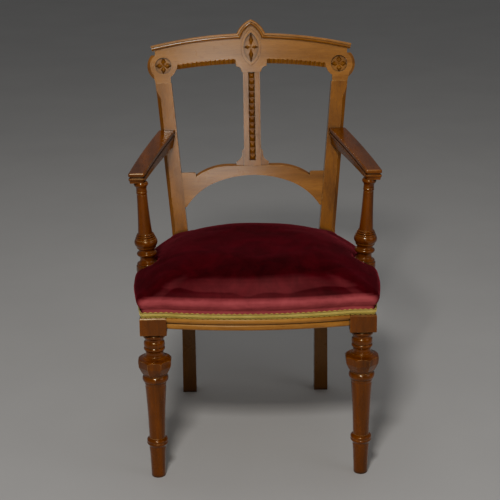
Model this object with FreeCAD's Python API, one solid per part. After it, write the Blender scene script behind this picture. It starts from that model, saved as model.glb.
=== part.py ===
import FreeCAD, Part
import math
import os

# Gothic revival open armchair: turned front legs, raked back with a carved crest rail, open arms
# on turned supports, and a sprung seat stuffed over the rails and finished with a braid.
# Millimetres. +X is the sitter's left, +Y is the back, +Z is up, and the feet stand on Z = 0.

V = FreeCAD.Vector
X_AXIS = V(1, 0, 0)
Y_AXIS = V(0, 1, 0)
Z_AXIS = V(0, 0, 1)
ORIGIN = V(0, 0, 0)

# ---- Driving dimensions: seat frame ----
FRONT_LEG_X = 227.0        # axis of a front leg from the middle of the chair
FLOOR_Z = -4.0             # the feet's level below the datum that the frame heights are set out from
LEG_BLOCK = 58.0           # side of the square block that heads a front leg
BLOCK_FOOT = 341.0         # underside of that block
RAIL_FOOT = 356.0          # underside of the seat rails
LEDGE_Z = 382.0            # top of the show-wood moulding, where the braid stands
RAIL_TOP = 400.0           # top of the rails, under the stuffing
RAIL_THICK = 26.0
MOULD_PROUD = 5.0          # how far the show-wood moulding stands out from the covered part
TACKED_FRONT_Y = -22.5     # covered face over the front legs
TACKED_CORNER_X = 249.5
FRONT_BOW = 20.0           # the front rail bows forward by this much
SIDE_MID = (250.3, 221.75)
BACK_CORNER = (180.0, 466.0)
LEG_FLAT = 51.5            # straight stretch of the covered outline over each leg block
CORNER_R = 6.0
FRONT_SOFTNESS = 0.45      # share of a softened back corner that the front corners take
WIDEST_CORNER = 0.8        # a back corner's radius is at most this share of the half-width there
ARC_BITE = 0.293           # how far the middle of a quarter round stands off its square corner
SIDE_FLARE = 0.2           # how far a softened corner starts out on the widening side

# ---- Driving dimensions: back ----
BACK_RAKE = 12.0           # degrees from upright
BACK_Y = 440.0             # front face of the raked back at the height of the rail top
STILE_DEPTH = 30.0
CREST_THICK = 22.0
ROUNDEL_X = 213.0
ROUNDEL_W = 433.5          # heights on the back are measured up the rake from the rail top
ROUNDEL_R = 32.0
ROUNDEL_SUNK_R = 20.0
ROUNDEL_CHAMFER = (7.0, 8.0)
NECK_HALF = 17.0
NECK_FLARE = 25.0          # where the neck's outer side meets the roundel, out from its centre
NECK_TOP_W = 414.0
STILE_EDGE_X = 232.9       # outer side of a stile at its top
STILE_TOP_W = 392.0
CREST_END_X = 233.0
CREST_END_W = 469.8
CREST_MID_W = 495.6
LOWER_END = (183.0, 424.3)
LOWER_MID_W = 437.2
BLOCK_HALF = 37.0
SPLAT_HALF = 20.5
SPLAT_TOP_W = 416.1
HOOD_HALF = 34.5
HOOD_SWELL = 5.0
PEAK_W = 541.8
CORNICE_TALL = 13.5
ARCH_TOP_W = 194.2
ARCH_UNDER_W = 166.1
SPRING_POINT = (163.0, 90.0)

# ---- Driving dimensions: arms and seat ----
ARM_FRONT_Y = 150.0
ARM_FRONT_Z = 657.0
ARM_SLOPE = 2.5            # degrees, rising to the back
ARM_UNDER_Z = 633.0
ARM_FRONT_X = (244.5, 281.0)
ARM_BACK_X = (180.0, 222.0)
SUPPORT_X = 243.3
SUPPORT_Y = 168.0
SUPPORT_LEAN = 2.75        # degrees, leaning outwards
DRUM_R = 26.0
SEAT_TOP = 472.5


def line(a, b):
    return Part.LineSegment(a, b).toShape()


def arc(a, through, b):
    return Part.Arc(a, through, b).toShape()


def bowed(a, b, swell):
    """A stretch from a to b in the XZ plane: straight, or an arc that swells to the right of its travel."""
    if swell == 0:
        return line(a, b)
    run = b.sub(a)
    side = V(-run.z, 0, run.x).normalize().multiply(swell)
    return arc(a, a.add(b).multiply(0.5).add(side), b)


def wire_of(start, steps, lift):
    """A closed wire. A step is (x, y) for a straight run or (through x, through y, x, y) for an arc."""
    edges = []
    last = start
    for step in list(steps) + [start]:
        end = step[-2:]
        if len(step) == 4:
            edges.append(arc(lift(*last), lift(*step[:2]), lift(*end)))
        elif math.dist(last, end) > 1e-6:
            edges.append(line(lift(*last), lift(*end)))
        last = end
    return Part.Wire(edges)


def slab_z(start, steps, low, high):
    """An outline in plan, extruded from low to high."""
    wire = wire_of(start, steps, lambda x, y: V(x, y, low))
    return Part.Face(wire).extrude(V(0, 0, high - low))


def slab_y(start, steps, front, back):
    """An outline seen from the front, extruded from front to back."""
    wire = wire_of(start, steps, lambda x, z: V(x, front, z))
    return Part.Face(wire).extrude(V(0, back - front, 0))


def slab_x(start, steps, left, right):
    """An outline seen from the side, extruded from left to right."""
    wire = wire_of(start, steps, lambda y, z: V(left, y, z))
    return Part.Face(wire).extrude(V(right - left, 0, 0))


def block(x, y, z):
    """A box between three pairs of limits."""
    return Part.makeBox(x[1] - x[0], y[1] - y[0], z[1] - z[0], V(x[0], y[0], z[0]))


def turned(stations):
    """A turned solid on the Z axis, from (height, diameter, swell of the stretch above it)."""
    first = V(stations[0][1] / 2, 0, stations[0][0])
    edges = [line(V(0, 0, first.z), first)]
    last = first
    for height, diameter, swell in stations[1:]:
        here = V(diameter / 2, 0, height)
        edges.append(bowed(last, here, swell))
        last = here
    edges.append(line(last, V(0, 0, last.z)))
    edges.append(line(V(0, 0, last.z), V(0, 0, first.z)))
    return Part.Face(Part.Wire(edges)).revolve(ORIGIN, Z_AXIS, 360)


def lofted(section, levels):
    """A solid through the sections that section(*level) gives for each of the levels."""
    return Part.makeLoft([section(*level) for level in levels], True, True)


def mirrored(shape):
    return shape.mirror(ORIGIN, X_AXIS)


def one_solid(shape):
    """The biggest solid of a result, with its split faces joined."""
    return max(shape.removeSplitter().Solids, key=lambda s: s.Volume)


RAKE = FreeCAD.Placement(V(0, BACK_Y, RAIL_TOP), FreeCAD.Rotation(X_AXIS, -BACK_RAKE)).toMatrix()


def on_back(shape):
    """Carries a shape drawn upright, front face at y = 0 and foot at z = 0, to the raked back."""
    return shape.transformed(RAKE, True)


def back_y(z):
    """Front face of the raked back at a height."""
    return BACK_Y + (z - RAIL_TOP) * math.tan(math.radians(BACK_RAKE))


# ---- Seat outline ----

def seat_section(z, grow, grow_back=None, soft=0.0):
    """The seat's outline in plan at a height, grown outwards from the covered face of the rails.

    soft is added to the radius of the back corners, and a share of it to the front ones.
    """
    fx = TACKED_CORNER_X + grow
    fy = TACKED_FRONT_Y - grow
    flat = fx - LEG_FLAT
    bx = BACK_CORNER[0] + grow
    by = BACK_CORNER[1] + (grow if grow_back is None else grow_back)
    mx = SIDE_MID[0] + grow
    near = CORNER_R + soft * FRONT_SOFTNESS
    far = min(CORNER_R + soft, bx * WIDEST_CORNER)
    near_cut = near * ARC_BITE
    far_cut = far * ARC_BITE
    side_x = bx + (far - CORNER_R) * SIDE_FLARE
    bow_x = bx - far_cut + (far - CORNER_R) * SIDE_FLARE / 2
    right = [
        (fx - near, fy),
        (fx - near_cut, fy + near_cut, fx, fy + near),
        (mx, SIDE_MID[1], side_x, by - far),
        (bow_x, by - far_cut, bx - far, by),
    ]
    left = [
        (-bx + far, by),
        (-bow_x, by - far_cut, -side_x, by - far),
        (-mx, SIDE_MID[1], -fx, fy + near),
        (-fx + near_cut, fy + near_cut, -fx + near, fy),
        (-flat, fy),
        (0, fy - FRONT_BOW, flat, fy),
    ]
    return wire_of((flat, fy), right + left, lambda x, y: V(x, y, z))


def seat_side_x(y, grow):
    """Half-width of the seat's outline at a depth, on the arc of its side."""
    a = V(TACKED_CORNER_X + grow, TACKED_FRONT_Y - grow + CORNER_R, 0)
    b = V(SIDE_MID[0] + grow, SIDE_MID[1], 0)
    c = V(BACK_CORNER[0] + grow, BACK_CORNER[1] + grow - CORNER_R, 0)
    circle = arc(a, b, c).Curve
    return circle.Center.x + math.sqrt(circle.Radius ** 2 - (y - circle.Center.y) ** 2)


def seat_prism(grow, low, high):
    return lofted(seat_section, [(low, grow), (high, grow)])


# ---- Legs ----

LEG_TURNING = [
    (341, 45, 0), (338, 45, 0), (329, 45, 2.0), (328, 42.5, 0), (320.5, 43, -1.2), (319.5, 44.5, 0),
    (309, 44.5, 0.8), (308, 42, 0), (299.5, 42, 2.3), (298.5, 40.5, 0), (288, 41, -1.0),
    (246, 41, 0), (245.5, 50, 0), (241, 50, 0), (240.5, 52, 0), (226.5, 52, 2.7), (225.5, 47.5, 0),
    (221, 47.5, 0.4), (214.5, 46.5, -0.6), (91, 35.7, -0.8), (90, 39, 0), (89, 42, 0), (82, 45, 1.6),
    (81, 45, 0), (74.5, 42, 1.6), (73.5, 40.5, 0), (66, 37.5, -0.8), (50.5, 34.6, 0),
    (FLOOR_Z + 2, 31.2, 0), (FLOOR_Z, 29.2, 0),
]
KNOP_TURNING = [
    (288, 41, 0), (284.5, 48, -1.2), (281.5, 60, -0.6), (270, 79, 3.6), (262, 79, 0), (246, 62, 1.0),
]
KNOP_FACETS = [(246, 53.5), (254, 61.5), (263, 69.5), (273, 71.5), (288.5, 71.5)]
BLOCK_BEVEL = (2.2, 3.2)


def octagon(z, across):
    """An octagon with a flat to the front."""
    radius = across / 2 / math.cos(math.pi / 8)
    turns = [math.pi / 8 + k * math.pi / 4 for k in range(9)]
    return Part.makePolygon([V(radius * math.cos(t), radius * math.sin(t), z) for t in turns])


def front_leg():
    """The leg on +X: turned, with a faceted knop and a square block cut back for the covering."""
    facets = lofted(octagon, KNOP_FACETS)
    knop = turned(KNOP_TURNING).common(facets)
    half = LEG_BLOCK / 2
    shy, drop = BLOCK_BEVEL

    def square(z, inset):
        side = half - inset
        return Part.makePolygon([V(-side, -side, z), V(side, -side, z), V(side, side, z), V(-side, side, z),
                                 V(-side, -side, z)])

    levels = [(BLOCK_FOOT, 1.2), (BLOCK_FOOT + 1.5, 0), (LEDGE_Z - drop, 0), (LEDGE_Z, shy)]
    head = lofted(square, levels)
    leg = turned(LEG_TURNING).fuse([knop, head])
    leg.translate(V(FRONT_LEG_X, 0, 0))
    upper = block((FRONT_LEG_X - half, FRONT_LEG_X + half), (-half, half), (LEDGE_Z - drop, RAIL_TOP))
    return one_solid(leg.fuse(upper.common(seat_prism(0, LEDGE_Z - drop, RAIL_TOP))))


STILE_INNER = [(150, FLOOR_Z), (149.5, 230), (153, 330), (159, 400)]
STILE_OUTER = [(184, FLOOR_Z), (181, 230), (188, 340), (197.5, 400)]
STILE_SPLAY = 0.0923       # sideways run of a stile per unit of height
CHAMFER_STOPS = (12.0, 34.0, 356.0, 380.0)  # where a stile's corner chamfer starts, is full, and ends
NO_CHAMFER = 0.2
STILE_CHAMFER = 9.5
FOOT_FRONT_Y = 461.0
KNEE_Y = 438.0
FOOT_DEPTH = 32.0
KNEE_DEPTH = 36.0


def back_leg():
    """The leg and stile on +X in one piece: its side outline crossed with its front outline."""
    rake = math.radians(BACK_RAKE)
    top_z = RAIL_TOP + (STILE_TOP_W + 20) * math.cos(rake)
    knee_top = RAIL_TOP - (BACK_Y - KNEE_Y) / math.tan(rake)
    back_shift = STILE_DEPTH / math.cos(rake)
    side = slab_x(
        (FOOT_FRONT_Y, FLOOR_Z),
        [(FOOT_FRONT_Y - 16, 180, KNEE_Y, 340), (KNEE_Y, knee_top), (back_y(top_z), top_z),
         (back_y(top_z) + back_shift, top_z), (KNEE_Y + KNEE_DEPTH + 1.5, 425),
         (KNEE_Y + KNEE_DEPTH - 1, 385, KNEE_Y + KNEE_DEPTH, 340),
         (FOOT_FRONT_Y + FOOT_DEPTH - 14.5, 180, FOOT_FRONT_Y + FOOT_DEPTH, FLOOR_Z)],
        100, 300)
    rise = top_z - RAIL_TOP
    inner_top = (STILE_INNER[-1][0] + rise * STILE_SPLAY, top_z)
    outer_top = (STILE_OUTER[-1][0] + rise * STILE_SPLAY, top_z)
    front = slab_y(STILE_INNER[0], STILE_INNER[1:] + [inner_top, outer_top] + STILE_OUTER[::-1], 380, 620)
    leg = side.common(front)
    leg = leg.cut(on_back(block((0, 400), (-100, 200), (STILE_TOP_W, 600))))
    slope = STILE_SPLAY * math.cos(rake)

    def corner(w, size):
        x = STILE_OUTER[-1][0] + w * slope
        return Part.makePolygon([V(x + 1, -1, w), V(x - size, -1, w), V(x + 1, size, w), V(x + 1, -1, w)])

    stops = list(zip(CHAMFER_STOPS, (NO_CHAMFER, STILE_CHAMFER, STILE_CHAMFER, NO_CHAMFER)))
    return one_solid(leg.cut(on_back(lofted(corner, stops))))


# ---- Seat rails, blocks and joints ----

MOULDING = [
    (356, -4.5), (358, -2.8), (361, -2.0), (366, -2.0), (368, -3.0), (369, -4.8), (370.2, -4.8),
    (371.2, -2.4), (376, 0.0), (380, 0.0), (382, -1.5),
]
TENON_Z = (364.0, 390.0)
TENON_THICK = 10.0
BLOCK_Z = (362.0, 394.0)


def rail_ring():
    """The whole moulded ring of the seat frame, before it is parted into rails."""
    show = lofted(seat_section, [(z, grow + MOULD_PROUD) for z, grow in MOULDING])
    tacked = seat_prism(0, RAIL_FOOT, RAIL_TOP)
    return show.fuse(tacked).cut(seat_prism(-RAIL_THICK, RAIL_FOOT - 1, RAIL_TOP + 1))


def seat_frame(leg_front, leg_back):
    """Front rail, side rail on +X, back rail, and both legs of that side with their mortises cut."""
    ring = rail_ring()
    half = LEG_BLOCK / 2
    inner_x = FRONT_LEG_X - half
    tenon_y = TACKED_FRONT_Y + 8
    front = ring.common(block((-inner_x, inner_x), (-100, half), (0, 500)))
    reach = 22.0
    front_tenon = block((inner_x - 5, inner_x + reach), (tenon_y, tenon_y + TENON_THICK), TENON_Z)
    front = one_solid(front.fuse([front_tenon, mirrored(front_tenon)]))

    side = ring.common(block((100, 300), (half, KNEE_Y), (0, 500)))
    near_x = seat_side_x(half, 0) - RAIL_THICK / 2 - 3
    far_x = seat_side_x(KNEE_Y, 0) - RAIL_THICK / 2
    near = block((near_x - TENON_THICK / 2, near_x + TENON_THICK / 2), (half - reach, half + 4), TENON_Z)
    far = block((far_x - TENON_THICK / 2, far_x + TENON_THICK / 2), (KNEE_Y - 4, KNEE_Y + reach), TENON_Z)
    side = one_solid(side.fuse([near, far]))

    back_in = BACK_CORNER[1] - RAIL_THICK
    legs = [leg_back, mirrored(leg_back)]
    back = ring.common(block((-170, 170), (back_in - 2, 600), (0, 500))).cut(legs)
    tenon = block((140, 174), (back_in + 8, back_in + 8 + TENON_THICK), TENON_Z)
    back = one_solid(back.fuse([tenon, mirrored(tenon)]))
    leg_front = one_solid(leg_front.cut([front, side]))
    leg_back = one_solid(leg_back.cut([side, back]))
    return front, side, back, leg_front, leg_back


SCREW_R = 2.2
SCREW_HEAD_R = 4.4


def wood_screw(length):
    """A countersunk wood screw on the Z axis: the head's face at z = 0 and the point below."""
    return turned([
        (0, 2 * SCREW_HEAD_R, 0), (-SCREW_HEAD_R + SCREW_R, 2 * SCREW_R, 0),
        (-length + 6, 2 * SCREW_R - 0.8, 0), (-length, 0.8, 0),
    ])


def aimed(shape, place, direction):
    """Turns a shape drawn down the Z axis so that its point looks along direction."""
    turn = FreeCAD.Rotation(V(0, 0, -1), direction)
    return shape.transformed(FreeCAD.Placement(place, turn).toMatrix(), True)


# ---- Back ----

CROSS_TALL = 5.2


def vesica(half_wide, half_tall, mid_w, front, back):
    """A pointed oval standing on its point."""
    return slab_y((0, mid_w - half_tall), [(half_wide, mid_w, 0, mid_w + half_tall),
                                           (-half_wide, mid_w, 0, mid_w - half_tall)], front, back)


def ridge(a, b, half, floor, tall):
    """A pointed leaf with a raised spine, lying on y = floor, from a to b as (x, w) points."""
    run = V(b[0] - a[0], 0, b[1] - a[1])
    mid = V((a[0] + b[0]) / 2, floor, (a[1] + b[1]) / 2)
    side = V(-run.z, 0, run.x).normalize().multiply(half)
    tips = [V(a[0], floor, a[1]), mid.add(side), V(b[0], floor, b[1]), mid.sub(side)]
    top = mid.add(V(0, -tall, 0))
    faces = [Part.Face(Part.makePolygon(tips + [tips[0]]))]
    for k in range(4):
        faces.append(Part.Face(Part.makePolygon([tips[k], tips[(k + 1) % 4], top, tips[k]])))
    return Part.makeSolid(Part.makeShell(faces))


def upright_solid(shape):
    """A solid with its faces looking outwards."""
    if shape.Volume < 0:
        shape.reverse()
    return shape


VESICA_HALF = (18.4, 36.3)
VESICA_MID_W = 474.9
RIM_WIDE = 5.4
LEAF_HALF = 6.8            # half-width of a leaf in the roundels
SUNK = 6.0                 # depth of the sunk fields of the carving
RIM_PROUD = 2.0


def crest_arc_w(x):
    """Height of the crest rail's top edge, on a shallow arc."""
    sag = CREST_MID_W - CREST_END_W
    radius = (CREST_END_X ** 2 + sag ** 2) / (2 * sag)
    return CREST_MID_W - radius + math.sqrt(radius ** 2 - x ** 2)


def hood_centre():
    """Centre and radius of the outer arc of the pointed hood on +X, from its foot to the peak."""
    foot = V(HOOD_HALF, 0, crest_arc_w(HOOD_HALF) + CORNICE_TALL)
    chord = V(0, 0, PEAK_W).sub(foot)
    radius = chord.Length ** 2 / (8 * HOOD_SWELL) + HOOD_SWELL / 2
    outward = V(chord.z, 0, -chord.x).normalize()
    middle = foot.add(V(chord.x / 2, 0, chord.z / 2))
    return middle.sub(outward.multiply(radius - HOOD_SWELL)), radius


def crest_rail():
    """The top rail with a roundel over each stile, a centre block and a pointed head."""
    deep = CREST_THICK
    board = slab_y(
        (-CREST_END_X, CREST_END_W),
        [(0, CREST_MID_W, CREST_END_X, CREST_END_W), (ROUNDEL_X + 18, ROUNDEL_W), LOWER_END,
         (0, LOWER_MID_W, -LOWER_END[0], LOWER_END[1]), (-ROUNDEL_X - 18, ROUNDEL_W)], 0, deep)
    pieces = []
    for side in (1, -1):
        centre = V(side * ROUNDEL_X, 0, ROUNDEL_W)
        pieces.append(Part.makeCylinder(ROUNDEL_R, deep, centre, Y_AXIS))
        x = side * ROUNDEL_X
        neck = slab_y((ROUNDEL_X - NECK_HALF, STILE_TOP_W), [
            (ROUNDEL_X - NECK_HALF, ROUNDEL_W), (ROUNDEL_X + NECK_FLARE, ROUNDEL_W),
            (ROUNDEL_X + NECK_FLARE, NECK_TOP_W), (STILE_EDGE_X, STILE_TOP_W)], 0, deep)
        pieces.append(neck if side > 0 else mirrored(neck))
        wide, slope = ROUNDEL_CHAMFER
        edge = Part.makeCone(ROUNDEL_R, ROUNDEL_R + wide, slope, centre, Y_AXIS).fuse(
            Part.makeCylinder(ROUNDEL_R + wide, deep - slope, V(x, slope, ROUNDEL_W), Y_AXIS))
        outer_half = (x, x + 60) if side > 0 else (x - 60, x)
        pieces.append(edge.common(block(outer_half, (0, deep), (STILE_TOP_W + 5, ROUNDEL_W + 26))))
    notch = [(SPLAT_HALF + 2.5, SPLAT_TOP_W), (SPLAT_HALF + 3.5, SPLAT_TOP_W + 3),
             (27.0, 426.0, BLOCK_HALF - 2, 430.0), (BLOCK_HALF, 430.5), (BLOCK_HALF, 470.0)]
    mirror_notch = [(-BLOCK_HALF, 470.0), (-BLOCK_HALF, 430.5), (-BLOCK_HALF + 2, 430.0),
                    (-27.0, 426.0, -SPLAT_HALF - 3.5, SPLAT_TOP_W + 3), (-SPLAT_HALF - 2.5, SPLAT_TOP_W)]
    centre_block = notch + mirror_notch + [(-SPLAT_HALF, SPLAT_TOP_W)]
    pieces.append(slab_y((SPLAT_HALF, SPLAT_TOP_W), centre_block, 0, deep))
    centre, radius = hood_centre()
    inner = radius - CORNICE_TALL
    foot_x = centre.x + math.sqrt(inner ** 2 - (PEAK_W - 70 - centre.z) ** 2)
    head_top = centre.z + math.sqrt(inner ** 2 - centre.x ** 2)
    mid_turn = math.radians(35)
    bow = (centre.x + inner * math.cos(mid_turn), centre.z + inner * math.sin(mid_turn))
    head = [(-bow[0], bow[1], 0, head_top), (bow[0], bow[1], foot_x, PEAK_W - 70)]
    pieces.append(slab_y((-foot_x, PEAK_W - 70), head, 0, deep))
    rail = board.fuse(pieces)
    wide, tall = VESICA_HALF
    rim = vesica(wide + RIM_WIDE, tall + RIM_WIDE + 1.8, VESICA_MID_W, -RIM_PROUD, 1)
    rail = rail.fuse(rim).cut(vesica(wide, tall, VESICA_MID_W, -10, SUNK))
    low = VESICA_MID_W - tall + 1.5
    high = VESICA_MID_W + tall - 1.5
    arm_w = VESICA_MID_W + 1
    carving = [ridge((0, low), (0, arm_w), 5.5, SUNK, CROSS_TALL),
               ridge((0, arm_w), (0, high), 5.5, SUNK, CROSS_TALL),
               ridge((-wide + 1.2, arm_w), (0, arm_w), 4.6, SUNK, CROSS_TALL),
               ridge((0, arm_w), (wide - 1.2, arm_w), 4.6, SUNK, CROSS_TALL)]
    for side in (1, -1):
        x = side * ROUNDEL_X
        rail = rail.cut(Part.makeCylinder(ROUNDEL_SUNK_R, 20, V(x, SUNK - 20, ROUNDEL_W), Y_AXIS))
        reach = ROUNDEL_SUNK_R - 0.6
        for dx, dw in ((1, 0), (-1, 0), (0, 1), (0, -1)):
            tip = (x + dx * reach, ROUNDEL_W + dw * reach)
            carving.append(ridge((x, ROUNDEL_W), tip, LEAF_HALF, SUNK, SUNK - 0.4))
    return one_solid(rail.fuse([upright_solid(c) for c in carving]))


GOUGES = 13
CHAMFER = 10.0


def carve_lower_edge(rail):
    """Chamfers the crest rail's lower front edge between block and roundels, and gouges the chamfer."""
    sag = LOWER_MID_W - LOWER_END[1]
    radius = (LOWER_END[0] ** 2 + sag ** 2) / (2 * sag)
    centre = V(0, 0, LOWER_MID_W - radius)
    start = math.degrees(math.asin((BLOCK_HALF + 0.5) / radius))
    stop = math.degrees(math.asin((LOWER_END[0] - 2.5) / radius))
    flat = radius + CHAMFER
    face = Part.Face(Part.makePolygon([V(0, -1, centre.z + radius - 1), V(0, -1, centre.z + flat),
                                       V(0, 0, centre.z + flat), V(0, CHAMFER * 0.85, centre.z + radius - 1),
                                       V(0, -1, centre.z + radius - 1)]))
    face.rotate(centre, Y_AXIS, start)
    cutter = face.revolve(centre, Y_AXIS, stop - start)
    gouges = []
    step = (stop - start) / GOUGES
    for k in range(GOUGES):
        turn = math.radians(start + (k + 0.5) * step)
        spot = V(centre.x + (radius + 4) * math.sin(turn), 3.6, centre.z + (radius + 4) * math.cos(turn))
        along = V(math.sin(turn), -0.9, math.cos(turn))
        bore = Part.makeCylinder(4.4, 30, spot.sub(V(along.x * 15, along.y * 15 + 2.6, along.z * 15)), along)
        gouges.append(bore)
    for tool in [cutter] + gouges:
        limit = block((BLOCK_HALF + 0.6, LOWER_END[0] - 3), (-5, CHAMFER + 1), (400, 450))
        tool = tool.common(limit)
        rail = rail.cut([tool, mirrored(tool)])
    return one_solid(rail)


CORNICE_FRONT = 9.0
CORNICE_PROFILE = [
    (CREST_THICK + 2, 0), (0, 0), (-1.2, 0), (-1.2, 1.6), (-2.2, 1.6), (-5.5, 3.0, -6.2, 6.6), (-6.6, 8.0),
    (-CORNICE_FRONT, 8.2), (-CORNICE_FRONT, 11.4), (-CORNICE_FRONT + 1.6, CORNICE_TALL),
    (CREST_THICK + 2, CORNICE_TALL),
]


def cornice_face(lift):
    """The cornice's section, as (depth, height above the rail), placed by lift."""
    return Part.Face(wire_of(CORNICE_PROFILE[0], CORNICE_PROFILE[1:], lift))


def cornice():
    """The straight run of cornice on +X and the half of the pointed hood on +X, mitred together."""
    sag = CREST_MID_W - CREST_END_W
    radius = (CREST_END_X ** 2 + sag ** 2) / (2 * sag)
    mid = V(0, 0, CREST_MID_W - radius)
    end_x = CREST_END_X + 6.5
    stop = math.degrees(math.asin(end_x / radius))
    face = cornice_face(lambda y, h: V(0, y, mid.z + radius + h))
    run = face.revolve(mid, Y_AXIS, stop)
    centre, outer = hood_centre()
    inner = outer - CORNICE_TALL
    face = cornice_face(lambda y, h: V(centre.x + inner + h, y, centre.z))
    face.rotate(centre, Y_AXIS, 40)
    hood = face.revolve(centre, Y_AXIS, -140)
    hood = hood.common(block((0, 100), (-50, 50), (400, 600)))
    corner = V(HOOD_HALF, 0, crest_arc_w(HOOD_HALF) + CORNICE_TALL)
    foot_angle = math.atan2(corner.z - centre.z, corner.x - centre.x)
    tangent = V(-math.sin(foot_angle), 0, math.cos(foot_angle))
    travel = V(math.cos(math.asin(HOOD_HALF / radius)), 0, -HOOD_HALF / radius)
    mitre = travel.add(tangent).normalize()
    across = V(mitre.z, 0, -mitre.x)
    reach = 150.0
    beyond = block((0, reach), (-reach, reach), (-reach, reach))
    frame = FreeCAD.Matrix(across.x, 0, mitre.x, corner.x, 0, 1, 0, 0,
                           across.z, 0, mitre.z, corner.z, 0, 0, 0, 1)
    outside = beyond.transformed(frame, True)
    inside = block((-reach, 0), (-reach, reach), (-reach, reach)).transformed(frame, True)
    run = run.cut(inside)
    hood = hood.cut(outside)
    return one_solid(run), one_solid(hood)


TEETH = 14
TOOTH_PITCH = 15.2
CHANNEL_HALF = 8.2
CHANNEL_DEEP = 4.0
SPLAT_THICK = 18.0
SPLAT_SHY = 1.0
BRACKET_Y = (SPLAT_SHY + 3, SPLAT_SHY + 15)
BRACKET_OUTLINE = [        # out from the splat's side, up from the arched rail's crown
    (0, -6), (19, -6), (19, 5), (15.5, 7), (7.5, 15, 5, 29), (2.5, 35), (0, 36),
]


def pyramid(x, w, half, base, tall):
    """A nail-head: a square pyramid that stands on y = base and points to the front."""
    ring = [V(x - half, base, w - half), V(x + half, base, w - half), V(x + half, base, w + half),
            V(x - half, base, w + half)]
    top = V(x, base - tall, w)
    faces = [Part.Face(Part.makePolygon(ring + [ring[0]]))]
    for k in range(4):
        faces.append(Part.Face(Part.makePolygon([ring[k], ring[(k + 1) % 4], top, ring[k]])))
    return upright_solid(Part.makeSolid(Part.makeShell(faces)))


def splat(arch):
    """The centre upright, with a sunk channel of nail-heads and a tenon at each end."""
    front = SPLAT_SHY
    body = block((-SPLAT_HALF, SPLAT_HALF), (front, front + SPLAT_THICK), (ARCH_TOP_W - 6, SPLAT_TOP_W))
    low = ARCH_TOP_W + 8
    high = low + TEETH * TOOTH_PITCH
    half = CHANNEL_HALF - 0.9
    channel_y = (front - 1, front + CHANNEL_DEEP)
    body = body.cut(block((-CHANNEL_HALF, CHANNEL_HALF), channel_y, (low - 1, high + 1)))
    teeth = []
    for k in range(TEETH):
        w = low + (k + 0.5) * TOOTH_PITCH
        teeth.append(pyramid(0, w, half, front + CHANNEL_DEEP, CHANNEL_DEEP + 1.2))
    body = body.fuse(teeth).cut(arch)
    tenon_y = (front + 6, front + 14)
    tenons = [block((-12, 12), tenon_y, (SPLAT_TOP_W - 2, SPLAT_TOP_W + 11)),
              block((-12, 12), tenon_y, (ARCH_TOP_W - 12, ARCH_TOP_W + 2))]
    return one_solid(body.fuse(tenons))


def splat_bracket(arch, post):
    """The small curved bracket beside the splat's foot, on +X."""
    outline = [tuple(v + (ARCH_TOP_W if k % 2 else SPLAT_HALF) for k, v in enumerate(step))
               for step in BRACKET_OUTLINE]
    body = slab_y(outline[0], outline[1:], *BRACKET_Y)
    return one_solid(body.cut([arch, post]))


ARCH_THICK = 22.0
ARCH_SHY = 1.5
ARCH_NOTCH_X = 139.0
ARCH_NOTCH_W = 168.5
ARCH_SHOULDER_W = 174.0
ARCH_LEFT_MID = (-105.0, 186.0)
ARCH_LEFT_END = (-58.0, 193.8)
ARCH_RIGHT_MID = (105.0, 186.0)
ARCH_RIGHT_END = (58.0, 193.8)
ARCH_BEVEL = (8.0, 5.0)    # depth and height of the bevel along the rail's top


def arched_rail():
    """The lower back rail: a three-centred arch below, an arc above, and a shoulder at each stile."""
    knee_x, knee_w = 90.0, ARCH_UNDER_W - 16.6
    run = V(SPRING_POINT[0] - knee_x, 0, SPRING_POINT[1] - knee_w)
    bow = V(-run.z, 0, run.x).normalize().multiply(run.Length * 0.08)
    mid_x = (SPRING_POINT[0] + knee_x) / 2 + bow.x
    mid_w = (SPRING_POINT[1] + knee_w) / 2 + bow.z
    foot_x = SPRING_POINT[0] + 16
    body = slab_y(
        (-foot_x, SPRING_POINT[1]),
        [(-foot_x, ARCH_SHOULDER_W), (-ARCH_NOTCH_X - 5, ARCH_SHOULDER_W),
         (-ARCH_NOTCH_X - 1.5, ARCH_SHOULDER_W - 1.5, -ARCH_NOTCH_X, ARCH_NOTCH_W),
         (*ARCH_LEFT_MID, *ARCH_LEFT_END), ARCH_RIGHT_END,
         (*ARCH_RIGHT_MID, ARCH_NOTCH_X, ARCH_NOTCH_W),
         (ARCH_NOTCH_X + 1.5, ARCH_SHOULDER_W - 1.5, ARCH_NOTCH_X + 5, ARCH_SHOULDER_W),
         (foot_x, ARCH_SHOULDER_W), (foot_x, SPRING_POINT[1]), SPRING_POINT,
         (mid_x, mid_w, knee_x, knee_w), (0, ARCH_UNDER_W, -knee_x, knee_w),
         (-mid_x, mid_w, -SPRING_POINT[0], SPRING_POINT[1])], ARCH_SHY, ARCH_SHY + ARCH_THICK)
    above = ARCH_TOP_W + 40

    def over_top(depth, drop):
        steps = [(-ARCH_NOTCH_X, ARCH_NOTCH_W - drop)]
        steps += [(*ARCH_LEFT_MID, *ARCH_LEFT_END), ARCH_RIGHT_END]
        steps += [(*ARCH_RIGHT_MID, ARCH_NOTCH_X, ARCH_NOTCH_W)]
        run = [steps[0]] + [tuple(v - drop if k % 2 else v for k, v in enumerate(step)) for step in steps[1:]]
        return wire_of((-ARCH_NOTCH_X, above), run + [(ARCH_NOTCH_X, above)], lambda x, w: V(x, depth, w))

    beyond = ARCH_SHY - 1
    steep = ARCH_BEVEL[1] / ARCH_BEVEL[0]
    ends = [over_top(beyond, ARCH_BEVEL[1] + steep), over_top(ARCH_SHY + ARCH_BEVEL[0], 0)]
    bevel = Part.makeLoft(ends, True, True)
    return one_solid(body.cut(bevel))


# ---- Arms ----

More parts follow.
